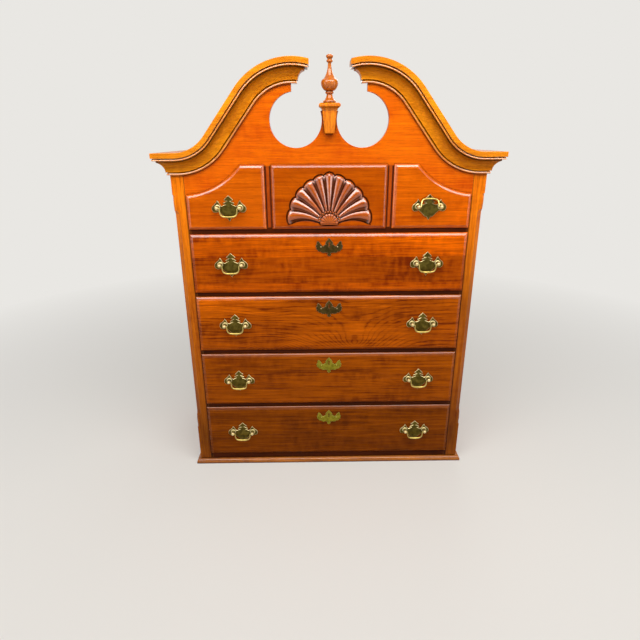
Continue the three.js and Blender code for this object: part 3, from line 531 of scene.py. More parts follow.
def front_outline(left, right, bottom, top, inset, arched):
    """Anticlockwise outline, pulled in by inset. An arched head follows the scroll board's arch."""
    foot = [(left + inset, bottom + inset), (right - inset, bottom + inset)]
    if not arched:
        return np.array(foot + [(right - inset, top - inset), (left + inset, top - inset)])
    head = top - inset
    arch = arch_points(arch_start(head, inset), right - inset, inset, 40)[::-1]
    return np.concatenate([foot, arch, [(left + inset, head)]])


def thumbnail(arcs):
    """Inset and depth along arcs of given radii, each turning from one slope to the next, in degrees."""
    place, runs = np.zeros(2), []
    for radius, start, end, steps in arcs:
        turn = np.radians(np.linspace(start, end, steps + 1))
        run = place + radius * np.stack([np.sin(turn[0]) - np.sin(turn), np.cos(turn[0]) - np.cos(turn)], -1)
        runs.append(run)
        place = run[-1]
    return chain(*runs)


FRONT_EDGE = np.concatenate([
    [(7, 12), (6.5, 11.5), (6.5, -GAP), (0.4, -GAP), (0, -0.7), (0, -2.4)],
    thumbnail([(8, 60, 44, 3), (20, 44, 26, 6), (14.2, 26, 19.2, 2)]) + [0.1, -2.7],
    [(8.2, -9.3), (8.4, -9.65), (8.8, -9.9), (9.5, FIELD)],
])


def lipped_front(left, right, bottom, top, side=1, arched=False):
    """One ring per station of the edge: body, back of the lip, lip edge, thumbnail, step, field."""
    sizes = left, right, bottom, top
    rings = [upright(front_outline(*sizes, inset, arched), depth) for inset, depth in FRONT_EDGE]
    return skin(np.array(rings) * [side, 1, 1])


def moulded_mask(face, foot, head, extra=0):
    """Gloss left on the moulded edge: it falls evenly from the head to the foot, where wiping and feet
    have dulled it. It is 0 on the last ring, which bounds the rubbed field."""
    corners = (len(face[0]) - extra) // len(FRONT_EDGE)
    height = face[0][: corners * (len(FRONT_EDGE) - 1), 2]
    up = (height - height.min()) / (height.max() - height.min())
    return np.concatenate([foot + (head - foot) * up, np.zeros(corners + extra)])


def make_front(name, drawer, face, **masks):
    """The piece of one drawer front, riding on its drawer."""
    node = f"{drawer}_front"
    return make_piece(f"{name}_front_face", [face], drawer, "drawer_wood", node, sharp=20, **masks)


HEAD_GLOSS = {"bottom": 0.6, "lower": 0.62, "middle": 0.8, "upper": 0.85}
fronts = {}
for name, head in HEAD_GLOSS.items():
    face = lipped_front(-FRONT_HALF, FRONT_HALF, *ROWS[name])
    fronts[name] = make_front(name, f"{name}_drawer", face, moulded=moulded_mask(face, 0.3, head))
for hand, side in HANDS:
    face = lipped_front(SMALL_NEAR, FRONT_HALF, *ROWS["small"], side=side, arched=True)
    mask = moulded_mask(face, 0.65, 0.95)
    fronts[hand] = make_front(f"{hand}_small", f"{hand}_small_drawer", face, moulded=mask)

# %% [markdown]
# ## Carved shell
#
# Eleven round ribs fan out from a small hub, with a hollow flute between each pair, and each rib
# ends in a rounded lobe. A carver first cuts a V groove round the shell, then lowers the flutes. The
# relief could be sculpted by hand, but it is regular, so it is a grid: one way runs across the fan,
# the other from the hub to the rim, and the height is a cross-section that grows with the lobe.

# %% Lay out the fan
SHELL_FOOT, SHELL_TOP, SHELL_SIDE, SHELL_ROOT = 806, 146, 119, 12
LOBES, GROUND, FAN_EDGE = 11, 2.6, 0.999
HUB_R, HUB_UP = 26, 11
RIB_FOOT, CREST, CREASE, RIM = 0.62, 0.12, 0.68, 0.91


def lobe_share(across):
    """Place inside a lobe: 0 on the rib's crest, 1 or -1 at the notches beside it."""
    return ((across + 1) / 2 * LOBES) % 1 * 2 - 1


def fan_point(across, reach, scallop=9.5, grow=0.0):
    """Front-view point: the angle opens towards the sides, the rim is a row of round lobes, and the lowest
    ribs turn down at their ends."""
    sideways = np.abs(across)
    spread = np.radians(across * (68 + 12 * sideways))
    angle = spread * (1 - 0.24 * (1 - 0.3 * sideways**4) * (1 - reach))
    angle = angle + np.radians(7.5) * np.sign(across) * sideways**5 * rising(reach, 0.35, 1) ** 2
    notch = 1 - np.sqrt(np.clip(1 - 0.97 * lobe_share(across) ** 2, 0, 1))
    rim = SHELL_TOP - (SHELL_TOP - SHELL_SIDE) * sideways - scallop * notch + grow
    radius = SHELL_ROOT + (rim - SHELL_ROOT) * reach
    return radius * np.sin(angle), SHELL_FOOT + radius * np.cos(angle)


def groove_rings():
    """The V groove's outer and inner line: along the scalloped rim, down the sides and under the hub."""
    across = np.linspace(-FAN_EDGE, FAN_EDGE, LOBES * 14 + 1)
    inner = np.stack(fan_point(across, 1.0), -1)
    outer = np.stack(fan_point(across * 1.012, 1.0, 7.0, 4.2), -1)
    under = np.stack(fan_point(np.full(12, FAN_EDGE), np.linspace(0.93, 0.2, 12)), -1)
    hub = np.linspace(HUB_R, -HUB_R, 13)
    hub = np.stack([hub, SHELL_FOOT + 3.5 + 4.0 * (hub / HUB_R) ** 2], -1)
    left = under[::-1] * [-1, 1]
    inner = np.concatenate([inner, under, hub, left])
    outer = np.concatenate([outer, under + [0.8, -3.0], hub - [0, 3.2], left + [-0.8, -3.2]])
    return inner, outer


def fan_height(across, reach):
    """Ribs with a rounded crest and straight flanks, as high as their lobe is wide there, then a small
    step down to hollow flutes that rise to the notch; all rounded down at the rim. The second array is
    the share of painted shade, which stands also for dark glazing: full in the crease beside a rib, a
    little less along the flute."""
    share = np.abs(lobe_share(across))
    flank = 0.58 - 0.14 * np.abs(across) ** 3
    rib = flank * np.clip(math.hypot(RIB_FOOT, CREST) - np.hypot(share, CREST), 0, 1)
    step = 0.09 * rising(share, 0.7, RIB_FOOT)
    flute = 0.16 * rising(share, 0.66, 1) ** 1.5
    relief = 0.6 + (2.2 + 15.5 * reach) * (rib + step + flute)
    end = np.sqrt(1 - rising(reach, RIM, 1) ** 2)
    side = np.sqrt(1 - rising(np.abs(across), 0.965, 1) ** 2)
    crease = np.exp(-(((share - CREASE) / 0.07) ** 2))
    hollow = np.maximum(crease, 0.93 * rising(share, 0.6, CREASE))
    hollow = hollow * np.maximum(0.25, rising(reach, 0.985, 0.945))
    return relief * end * side - GROUND * (1 - end * side), hollow


def shell_face():
    """Grid of the fan from the hub to the rim, with the share of painted shade and dark glazing in the
    hollows, and the gloss: full on the ribs' flanks and ends, which are polished most, and low on crests
    and in flutes."""
    across = np.linspace(-FAN_EDGE, FAN_EDGE, LOBES * 26 + 1)[:, None]
    rim = RIM + (1 - RIM) * np.sin(np.linspace(0, math.pi / 2, 15))
    reach = np.concatenate([np.linspace(0, 0.9, 46), rim])[None, :]
    x, z = fan_point(across, reach)
    height, hollow = fan_height(across, reach)
    share = np.abs(lobe_share(across))
    flank = rising(share, 0.08, 0.2) * rising(share, CREASE, 0.6) * (1 - 0.25 * np.abs(across) ** 3)
    shine = 0.3 + 0.7 * np.maximum(flank, rising(reach, 0.9, 0.94))
    return np.stack([x, FIELD - height, z], -1), hollow, shine


def backed(grid, back):
    """A relief closed by walls and a flat back: its rim is repeated at the back and filled."""
    rows, columns, _ = grid.shape
    index = np.arange(rows * columns).reshape(rows, columns)
    quads = np.stack([index[:-1, :-1], index[:-1, 1:], index[1:, 1:], index[1:, :-1]], -1).reshape(-1, 4)
    rim = np.concatenate([index[0], index[1:, -1], index[-1, -2::-1], index[-2:0:-1, 0]])
    behind = grid.reshape(-1, 3)[rim].copy()
    behind[:, 1] = back
    second = np.arange(len(rim)) + rows * columns
    wall = np.stack([rim, second, np.roll(second, -1), np.roll(rim, -1)], -1)
    points = np.concatenate([grid.reshape(-1, 3), behind])
    return points, np.concatenate([quads, wall]), fill(behind)[:, ::-1] + rows * columns


fan_grid, fan_hollow, fan_shine = shell_face()
fan = backed(fan_grid, FIELD + GROUND)
print("fan:", fan_grid.shape, "relief", round(float(FIELD - fan_grid[..., 1].min()), 1), "mm")

# %% Carve the hub and the beads
BEAD_RING, BEAD_R, BEAD_DEPTH = 30, 2.7, FIELD - 4.5


def shell_hub():
    """A half dome whose surface waves with the angle, which gives fine flutes that fan out, and the share
    of painted shade in those flutes.
    """
    turn = np.radians(np.linspace(-106, 106, 201))[None, :]
    ring = np.linspace(0, 1, 24)[:, None]
    wide = np.cos(ring * math.pi / 2 * 0.95)
    wave = np.abs(np.cos(turn * 8))
    flutes = wave * np.clip(wide * 1.5 - 0.2, 0, 1)
    lift = 10 * np.sin(ring * math.pi / 2) ** 0.7 - 1.3 * (1 - flutes) * np.sin(ring * math.pi) ** 0.5
    x, z = HUB_R * wide * np.sin(turn), SHELL_FOOT + HUB_UP + HUB_R * wide * np.cos(turn)
    y = np.where(ring == 0, FIELD + GROUND, FIELD - lift)
    return skin(np.stack([x, y, z], -1)), np.broadcast_to(0.8 * (1 - wave), x.shape).ravel()


def shell_beads():
    """Ten round beads, one where each flute starts: a turned ball on a circle round the hub."""
    x, z = fan_point((2 * np.arange(1, LOBES) - LOBES) / LOBES, 0.15)
    angle = np.arctan2(x, z - SHELL_FOOT)
    reach = HUB_UP * np.cos(angle) + np.sqrt(BEAD_RING**2 - (HUB_UP * np.sin(angle)) ** 2)
    turn = np.linspace(0.04, math.pi - 0.04, 11)
    ball = BEAD_R * np.stack([np.sin(turn), -np.cos(turn)], -1)
    middles = zip(reach * np.sin(angle), SHELL_FOOT + reach * np.cos(angle))
    return [turned(ball, 14, across, BEAD_DEPTH, up) for across, up in middles]


hub, hub_hollow = shell_hub()
beads = shell_beads()
plain_walls = np.zeros(len(fan[0]) - fan_hollow.size)
plain_beads = np.zeros(sum(len(bead[0]) for bead in beads))
# Painted shade in the shell's creases and flutes and between the hub's flutes, standing also for dark
# glazing.
painted_shade = np.concatenate([fan_hollow.ravel(), plain_walls, hub_hollow, plain_beads])
shine = 0.75 - 0.4 * painted_shade
shine[: fan_shine.size] = fan_shine.ravel()
shell = make_piece("carved_shell", [fan, hub, *beads], "centre_small_drawer", "scroll_wood", "shell_carving",
                   sharp=70, hollow=painted_shade, moulded=shine)

# %% [markdown]
# The groove round the shell is cut into the drawer front. So this front's flat field is filled
# round a hole, a sloping wall runs from the hole down to the shell's foot, and a flat floor closes
# the pocket behind the carving.

# %% Cut the groove into the shell's drawer front


def front_with_pocket(face, inner, outer):
    """The lipped front, its field opened by the groove's outer line and closed behind the shell."""
    points = face[0]
    rim, lip = upright(outer, FIELD), upright(0.9 * outer + 0.1 * inner, FIELD + 0.2)
    floor = upright(inner, FIELD + GROUND)
    every = np.concatenate([points, rim, lip, floor])
    loops = np.arange(len(points), len(every)).reshape(3, -1)
    field = np.arange(len(points) - 4, len(points))
    back = facing(fill(points[:4]), every, 1)
    lids = facing(np.concatenate([field, loops[0]])[span(points[field], rim)], every, -1)
    base = facing(fill(floor) + loops[2, 0], every, -1)
    ahead = np.roll(loops, -1, 1)
    wall = np.stack([loops[:-1], ahead[:-1], ahead[1:], loops[1:]], -1).reshape(-1, 4)
    quads = np.concatenate([outward(face)[1], facing(wall, every, -1)])
    return every, quads, np.concatenate([back, lids, base])


inner_line, outer_line = groove_rings()
face = front_with_pocket(lipped_front(-CENTRE_HALF, CENTRE_HALF, *ROWS["small"]), inner_line, outer_line)
groove, rest = 2 * len(inner_line), len(face[0]) - 2 * len(inner_line)
# Painted shade in the V groove round the shell.
painted_shade = np.concatenate([np.zeros(rest), np.full(groove, 0.9)])
gloss = moulded_mask(face, 0.65, 0.75, 3 * len(inner_line))
fronts["centre"] = make_front("shell", "centre_small_drawer", face, moulded=gloss, hollow=painted_shade)

# %% [markdown]
# ## Brass pulls
#
# A bat-wing plate lies on the drawer, two turned studs stand on it, and a bail hangs between them.
# The plate is its outline at six depths, the last four pulled in, which gives the filed bevel that
# catches the light. The bail is a circle carried along its centre line, thick in the grip and thin
# at the pins, and it is a piece of its own because it turns.

# %% Shape the plates and studs
PLATE_HALF, PLATE_CREST, PLATE_DROP = 48.5, 34, 38
STUD_X, COLLAR_END, BALL_START = 31.75, -14, -19.5


def bat_wing():
    """Half outline in shares: fir-tree crest with three barbs, wing with a round lobe, pendant; mirrored."""
    half = chain(
        [(0, 1), (0.28, 0.62), (0.25, 0.56), (0.11, 0.52), (0.33, 0.37), (0.3, 0.3), (0.19, 0.26),
         (0.39, 0.13)],
        flow([(0.39, 0.13), (0.45, 0.16), (0.52, 0.28), (0.57, 0.44), (0.66, 0.6)], 4),
        flow([(0.66, 0.6), (0.72, 0.43), (0.82, 0.28), (0.96, 0.1), (1, -0.1), (0.96, -0.26), (0.84, -0.36),
              (0.7, -0.34)], 4),
        flow([(0.7, -0.34), (0.6, -0.31), (0.52, -0.38), (0.44, -0.48), (0.31, -0.64), (0.2, -0.78)], 4),
        flow([(0.2, -0.78), (0.14, -0.73), (0.1, -0.8), (0.06, -0.9), (0, -1)], 3),
    )
    high = np.where(half[:, 1] > 0, PLATE_CREST, PLATE_DROP)
    return mirrored(half * np.stack([np.full(len(half), PLATE_HALF), high], -1))


def along_depth(surface, across, height):
    """Lays an upright turned piece down so that its axis runs forward from the drawer."""
    points, quads, triangles = surface
    return np.stack([points[:, 0] + across, -points[:, 2], points[:, 1] + height], -1), quads, triangles


STUD = chain(
    [(0.1, 10.6), (8.4, 10.6)],
    flow([(8.4, 11.7), (8.2, 12.5), (7.2, 13.5), (4.8, 14.4), (3.4, 16.0), (3.0, 18.0), (3.3, 20.0)], 4),
    flow([(3.5, 20.6), (4.7, 22.2), (5.4, 24.8), (5.2, 27), (4.0, 29.2), (2.4, 30.2), (0.1, 30.4)], 5),
)


def pull_plate(across, height):
    """The plate with its bevel, and a stud at each side of the middle. The second array is the rubbed
    share: full on the plate's edge, high on the studs' balls and collars, none on the plate's face."""
    outline = bat_wing() + [across, height]
    stations = [(0, -10.02), (0, -10.5), (0.4, -10.9), (0.9, -11.3), (1.5, -11.6), (2.0, -11.8)]
    plate = skin([upright(pulled_in(outline, inset), depth) for inset, depth in stations])
    studs = [along_depth(turned(STUD, 28, 0, 0, 0), across + x, height) for x in (-STUD_X, STUD_X)]
    depth = studs[0][0][:, 1]
    stud = (depth < BALL_START) * 0.9 + (depth > COLLAR_END) * 0.8
    rubbed = np.concatenate([np.ones(len(outline) * (len(stations) - 1)), np.zeros(len(outline)), stud, stud])
    return [plate] + studs, rubbed


print("plate outline:", len(bat_wing()), "points; stud profile:", len(STUD))

# %% Bend the bails
PIN_DEPTH, TURNED_UP = -25.8, math.radians(206)
PULL_X, SMALL_PULL_X, SMALL_PULL_UP = 286, 281, 62.5


def bail(across, height, raised):
    """A round section along the bail's line, from pin to pin, then turned about the pins' axis."""
    half = np.array([
        (0, -24, 2.75), (6, -23.95, 2.72), (12, -23.3, 2.5), (17, -22.1, 2.2), (20.6, -19.6, 2.0),
        (22.9, -15.8, 1.85), (24.0, -11, 1.75), (24.4, -6, 1.65), (24.8, -2.4, 1.6), (26.2, -0.5, 1.5),
        (28.5, 0, 1.5), (33.5, 0, 1.5),
    ])
    line = flow(np.concatenate([half[:0:-1] * [-1, 1, 1], half]), 4)
    run = np.gradient(line[:, :2], axis=0)
    run /= np.linalg.norm(run, axis=1)[:, None]
    angle = np.linspace(0, 2 * math.pi, 18, endpoint=False)[None, :]
    side, depth = line[:, 2:] * np.cos(angle), line[:, 2:] * np.sin(angle)
    x, z = line[:, :1] - run[:, 1:] * side, line[:, 1:2] + run[:, :1] * side
    turned_y = depth * math.cos(raised) + z * math.sin(raised)
    turned_z = z * math.cos(raised) - depth * math.sin(raised)
    return skin(np.stack([across + x, PIN_DEPTH + turned_y, height + turned_z], -1))


def pull_place(row):
    """How far from the middle and how high the pulls of a row sit."""
    low, high = ROWS[row]
    return (SMALL_PULL_X, low + SMALL_PULL_UP) if row == "small" else (PULL_X, (low + high) / 2)


plates, bails = [], []
for row in ROWS:
    x, height = pull_place(row)
    for hand, side in HANDS:
        drawer = f"{hand}_small_drawer" if row == "small" else f"{row}_drawer"
        prefix = drawer if row == "small" else f"{drawer}_{hand}"
        raised = TURNED_UP if prefix == "right_small_drawer" else 0.0
        parts, rubbed = pull_plate(side * x, height)
        ring = bail(side * x, height, raised)
        plates.append(make_piece(f"{prefix}_bat_wing", parts, drawer, "brass", f"{prefix}_plate", sharp=32,
                                 rubbed=rubbed))
        body = f"{prefix}_bail"
        bails.append(make_piece(f"{body}_ring", [ring], body, "brass", body, sharp=60))

# %% [markdown]
# ## Escutcheons
#
# The escutcheon is the pull plate's smaller cousin, with a keyhole cut through. Filling a face with
# a hole in it needs triangles between two outlines, which the tessellator gives, and the walls of
# both outlines are quads. Two round-headed pins hold the plate.

# %% Pierce the escutcheons
ESCUTCHEON_HALF, ESCUTCHEON_HIGH, ESCUTCHEON_DOWN, PIN_X = 39.5, 27, 39, 24


def small_bat_wing():
    """Half outline in shares: barbed crest, hooked wing with notched feathers, foot and pendant; mirrored."""
    return mirrored(chain(
        [(0, 1), (0.12, 0.8)], flow([(0.12, 0.8), (0.22, 0.62), (0.3, 0.4)], 3),
        [(0.3, 0.4), (0.21, 0.34), (0.4, 0.2), (0.44, 0.1)],
        flow([(0.44, 0.1), (0.53, 0.17), (0.62, 0.34), (0.7, 0.52), (0.84, 0.68)], 4),
        flow([(0.84, 0.68), (0.9, 0.54), (0.93, 0.42), (0.89, 0.32)], 3),
        flow([(0.89, 0.32), (0.98, 0.2), (1, 0.08), (0.93, -0.02)], 3),
        flow([(0.93, -0.02), (0.97, -0.12), (0.94, -0.22), (0.84, -0.28)], 3),
        flow([(0.84, -0.28), (0.82, -0.4), (0.72, -0.46), (0.62, -0.42)], 3),
        flow([(0.62, -0.42), (0.58, -0.54), (0.46, -0.62), (0.34, -0.6), (0.26, -0.56)], 3),
        flow([(0.26, -0.56), (0.2, -0.64), (0.12, -0.6), (0.1, -0.7), (0.15, -0.8), (0.1, -0.9), (0, -1)], 3),
    ) * [ESCUTCHEON_HALF, ESCUTCHEON_HIGH])


def keyhole_outline():
    """A round eye over a straight slot."""
    return np.concatenate([arc(0, 12, 3, -150, 150, 22), [(1.5, 0), (-1.5, 0)]])


def run_round(outline, way):
    """The outline in the order that turns anticlockwise for 1, and clockwise for -1."""
    return outline if np.cross(outline, np.roll(outline, -1, 0)).sum() * way > 0 else outline[::-1]


def pierced_plate(middle):
    """Outer and inner walls as quads, with triangles between the two outlines at the back and the front."""
    outer, inner = run_round(small_bat_wing(), 1), run_round(keyhole_outline(), -1)
    outer, inner = outer + [0, middle], inner + [0, middle]
    levels = [(0, -10.02), (0, -10.7), (0.25, -11.1), (0.7, -11.4), (1.1, -11.6)]
    rings = [[upright(pulled_in(outer, inset), depth), upright(inner, depth)] for inset, depth in levels]
    both = np.stack([np.concatenate(pair) for pair in rings])
    count, size = both.shape[:2]
    index = np.arange(count * size).reshape(count, size)
    wall, hole = index[0, : len(outer)], index[0, len(outer):]
    after = np.concatenate([np.roll(wall, -1), np.roll(hole, -1)])
    quads = np.stack([index[:-1], index[:-1][:, after], index[1:][:, after], index[1:]], -1).reshape(-1, 4)
    back, front = (facing(span(*rings[level]), both[level], way) for level, way in ((0, 1), (-1, -1)))
    rubbed = np.ones((count, size))
    rubbed[-1] = 0
    return (both.reshape(-1, 3), quads, np.concatenate([back, front + index[-1, 0]])), rubbed.ravel()


def pin_head(across, height):
    """A shallow round head."""
    turn = np.linspace(1.57, 0.05, 7)
    profile = np.stack([1.9 * np.sin(turn), 11.5 + 1.1 * np.cos(turn)], -1)
    return along_depth(turned(profile, 16, 0, 0, 0), across, height)


escutcheons = []
for row in WIDE_ROWS:
    middle = ROWS[row][1] - ESCUTCHEON_DOWN
    plate, rubbed = pierced_plate(middle)
    pins = [pin_head(side * PIN_X, middle + 1) for _, side in HANDS]
    rubbed = np.concatenate([rubbed, np.ones(sum(len(pin[0]) for pin in pins))])
    name, drawer = f"{row}_bat_wing_escutcheon", f"{row}_drawer"
    node, parts = f"{drawer}_escutcheon", [plate, *pins]
    escutcheons.append(make_piece(name, parts, drawer, "brass", node, sharp=32, rubbed=rubbed))

# %% [markdown]
# ## Shader groups
#
# Three effects are shared by the finishes, so each is built once as a group with named inputs and
# outputs: the grain of cherry, the worn arrises with painted shade in the corners, and the patina of
# brass. A group only gives values that change over the surface. The shader itself stays in each material
# with its own gloss.

# %% Small tools for node trees


def colour(code):
    """Turns an #rrggbb colour into the linear numbers that a shader needs."""
    values = np.array([int(code[i:i + 2], 16) for i in (1, 3, 5)]) / 255
    linear = np.where(values <= 0.04045, values / 12.92, ((values + 0.055) / 1.055) ** 2.4)
    return (*linear.tolist(), 1.0)


class Tree:
    """Adds nodes to a tree. Each input is linked to a socket or set to a value."""

    def __init__(self, tree):
        self.tree = tree

    def feed(self, node, inputs):
        for key, value in inputs.items():
            if isinstance(value, bpy.types.NodeSocket):
                self.tree.links.new(value, node.inputs[key])
            else:
                node.inputs[key].default_value = value
        return node

    def node(self, kind, inputs={}, **settings):
        made = self.tree.nodes.new("ShaderNode" + kind)
        for key, value in settings.items():
            setattr(made, key, value)
        return self.feed(made, inputs)

    def math(self, operation, a, b=0.0, c=0.0, clamp=False):
        return self.node("Math", {0: a, 1: b, 2: c}, operation=operation, use_clamp=clamp).outputs[0]

    def times(self, a, b, clamp=False):
        return self.math("MULTIPLY", a, b, clamp=clamp)

    def plus(self, a, b, clamp=False):
        return self.math("ADD", a, b, clamp=clamp)

    def mix(self, share, a, b):
        return self.node("Mix", {0: share, 6: a, 7: b}, data_type="RGBA").outputs[2]

    def stretch(self, vector, scale, shift=(0, 0, 0)):
        return self.node("Mapping", {"Vector": vector, "Scale": scale, "Location": shift}).outputs[0]

    def noise(self, vector, scale, detail, rough):
        values = {"Vector": vector, "Scale": scale, "Detail": detail, "Roughness": rough}
        return self.node("TexNoise", values).outputs[0]

    def range(self, value, low, high, to_low=0.0, to_high=1.0):
        return self.node("MapRange", {0: value, 1: low, 2: high, 3: to_low, 4: to_high}).outputs[0]

    def mask(self, name):
        return self.node("Attribute", attribute_name=name).outputs["Fac"]


def new_group(name, inputs, outputs):
    """An empty shader group with named sockets; returns the group, its tools and its input node."""
    group = bpy.data.node_groups.new(name, "ShaderNodeTree")
    for way, sockets in (("INPUT", inputs), ("OUTPUT", outputs)):
        for label, kind in sockets.items():
            group.interface.new_socket(label, in_out=way, socket_type="NodeSocket" + kind)
    tree = Tree(group)
    return group, tree, group.nodes.new("NodeGroupInput").outputs


def close_group(group, tree, outputs):
    """Feeds the group's outputs and returns the group."""
    tree.feed(group.nodes.new("NodeGroupOutput"), outputs)
    return group


print("a mid tone in linear numbers:", colour("#808080"))

# %% [markdown]
# Cherry has fine straight pores, darker growth lines that bend into arches where a board was sawn
# flat, and soft clouds of colour. A wood texture node draws plain rings. Here the growth lines are
# level lines of a smooth noise that is stretched along the grain, which gives arches and islands.

# %% The cherry grain group
SURFACE = {"Color": "Color", "Roughness": "Float", "Height": "Float"}


def build_cherry():
    """Grain along X. Lines: sine of height/spacing plus stretched noise and a dome, which nests the lines
    round its centre. Shade: clouds, fibres, streaks and curl across the grain, then the lines."""
    group, t, inp = new_group(
        "cherry_grain",
        {"Vector": "Vector", "Light": "Color", "Dark": "Color", "Spacing": "Float", "Arches": "Float",
         "Line Depth": "Float", "Dome": "Float", "Streaks": "Float", "Curl": "Float"},
        SURFACE,
    )

    def grain(stretch, detail, rough, shift=(0, 0, 0)):
        return t.noise(t.stretch(inp["Vector"], stretch, shift), 1.0, detail, rough)

    height = t.node("SeparateXYZ", {0: inp["Vector"]}).outputs[2]
    rows = t.math("DIVIDE", height, inp["Spacing"])
    bent = t.plus(rows, t.times(grain((1.6, 4, 7), 2.0, 0.45), inp["Arches"]))
    bent = t.plus(t.plus(bent, inp["Dome"]), t.times(grain((11, 30, 34), 3.0, 0.6), 1.5))
    wave = t.math("MULTIPLY_ADD", t.math("SINE", t.times(bent, 6.2832)), 0.5, 0.5)
    broken = t.range(grain((7, 12, 30), 2.0, 0.5, (3, 1, 2)), 0.3, 0.6)
    line = t.times(t.math("POWER", wave, 5.0), broken)
    fibre = grain((9, 270, 270), 3.5, 0.65)
    streak = t.range(grain((6, 60, 105), 2.5, 0.55), 0.3, 0.7)
    pores = t.range(grain((55, 1500, 1500), 1.0, 0.5), 0.56, 0.72)
    cloud = t.range(grain((4, 8, 16), 2.5, 0.55), 0.32, 0.68)
    curl = t.range(grain((48, 12, 22), 2.0, 0.55, (5, 2, 1)), 0.35, 0.68)
    curl = t.times(t.times(t.math("SUBTRACT", curl, 0.5), cloud), inp["Curl"])
    shade = t.plus(t.times(cloud, 0.3), t.times(t.range(fibre, 0.34, 0.66), 0.4))
    shade = t.plus(t.plus(shade, t.times(streak, inp["Streaks"])), curl)
    shade = t.plus(t.range(shade, 0.1, 0.9), t.times(line, inp["Line Depth"]), clamp=True)
    tint = t.mix(shade, inp["Light"], inp["Dark"])
    tint = t.mix(t.times(pores, 0.3), tint, (0.04, 0.008, 0.0, 1))
    rough = t.range(t.plus(fibre, cloud), 0.4, 1.6, 0.2, 0.32)
    relief = t.math("SUBTRACT", t.times(fibre, 0.4), t.times(pores, 0.6))
    return close_group(group, t, {"Color": tint, "Roughness": rough, "Height": relief})


CHERRY = build_cherry()
print(CHERRY.name, "has", len(CHERRY.nodes), "nodes")

# %% [markdown]
# Handling wears the arrises. The worn mask compares the true normal with one that is rounded off
# over a small radius: they differ only near an edge. The second mask paints shade into corners, and
# stands also for dirt there: it uses ambient occlusion, which is dark where two surfaces meet.

# %% The worn edge and painted corner shade group


def build_wear_and_shade():
    """Worn: how far the rounded normal leans from the true one. Dirt and shade: painted shade, standing
    also for dirt, by how little open space there is.
    """
    inputs = {"Vector": "Vector", "Worn": "Float", "Dirt And Shade": "Float"}
    group, t, inp = new_group("worn_edges_and_shade", inputs, {"Worn": "Float", "Dirt And Shade": "Float"})
    true = t.node("NewGeometry").outputs["Normal"]
    rounded = t.node("Bevel", {"Radius": 0.0022}, samples=4).outputs[0]
    lean = t.node("VectorMath", {0: true, 1: rounded}, operation="DOT_PRODUCT").outputs["Value"]
    patch = t.range(t.noise(inp["Vector"], 55.0, 3.0, 0.6), 0.35, 0.65)
    worn = t.times(t.times(t.range(lean, 0.995, 0.86), patch), inp["Worn"], clamp=True)
    open_space = t.node("AmbientOcclusion", {"Distance": 0.016}, samples=6).outputs["AO"]
    dirt_and_shade = t.times(t.range(open_space, 0.84, 0.42), inp["Dirt And Shade"], clamp=True)
    return close_group(group, t, {"Worn": worn, "Dirt And Shade": dirt_and_shade})


WEAR_AND_SHADE = build_wear_and_shade()
print(WEAR_AND_SHADE.name, "has", len(WEAR_AND_SHADE.nodes), "nodes")

# %% [markdown]
# Antiqued brass is lacquered brown-green brass that is rubbed bright where fingers touch it. The
# patina is a soft noise between two tones under fine dark specks, and its roughness follows both.

# %% The brass patina group


def build_patina():
    """Clouds of olive over brass yellow, finer specks, and a roughness that follows both."""
    inputs = {"Vector": "Vector", "Bright": "Color", "Aged": "Color"}
    group, t, inp = new_group("brass_patina", inputs, SURFACE)
    cloud = t.range(t.noise(inp["Vector"], 70.0, 3.0, 0.6), 0.35, 0.62)
    speck = t.noise(inp["Vector"], 420.0, 2.0, 0.6)
    tint = t.mix(t.times(cloud, 0.75), inp["Bright"], inp["Aged"])
    tint = t.mix(t.times(t.range(speck, 0.5, 0.75), 0.5), tint, (0.05, 0.035, 0.01, 1))
    rough = t.range(t.plus(cloud, speck), 0.3, 1.5, 0.24, 0.42)
    return close_group(group, t, {"Color": tint, "Roughness": rough, "Height": speck})


PATINA = build_patina()
print(PATINA.name, "has", len(PATINA.nodes), "nodes")

# %% [markdown]
# ## Cherry under gloss lacquer
#
# Every wooden piece gets its own material, because each is sawn from its own board: the grain is
# turned along the piece and shifted, so that no two pieces repeat. Drawer fronts are glued up from
# two or three boards, which shows as faint level joints with a change of tone. A colour ramp with
# hard steps over the front's height picks the board, and its value shifts the grain as well.

# %% Make a wood finish
# Wood where the lacquer has worn through, and a dark tone for painted shade in corners, which stands also for
# dirt.
BARE_EDGE, DIRT_AND_SHADE = colour("#f0a050"), colour("#240800")
# Dark tones of painted shade: one in the hollows of the carving and the mouldings, one beside the drawer
# lips.
PAINTED_HOLLOW_SHADE, LIP_SHADE = colour("#2c0c02"), colour("#280a00")


def start_material(name):
    """A material with its shader kept, and the surface's own Object coordinates."""
    material = bpy.data.materials.new(name)
    material.use_nodes = True
    tree = Tree(material.node_tree)
    shader = material.node_tree.nodes["Principled BSDF"]
    return material, tree, shader, tree.node("TexCoord").outputs["Object"]


def soft_spot(t, place, x, z, wide, high):
    """1 at a point of the front, falling to 0 on the ellipse with the given half width and height."""
    size, centre = (1000 / wide, 0, 1000 / high), (-x / wide, 0, -z / high)
    ball = t.node("TexGradient", {"Vector": t.stretch(place, size, centre)}, gradient_type="QUADRATIC_SPHERE")
    return ball.outputs["Fac"]


def glued_boards(t, up, low, high, steps):
    """The tone of the board at each height: a ramp from low to high with a hard step at each joint."""
    ramp = t.node("ValToRGB", {0: t.range(up, low / 1000, high / 1000)})
    ramp.color_ramp.interpolation = "CONSTANT"
    for _ in steps[2:]:
        ramp.color_ramp.elements.new(0.5)
    for element, (start, value) in zip(ramp.color_ramp.elements, steps):
        element.position = start
        element.color = (value, value, value, 1)
    return ramp.outputs[0]


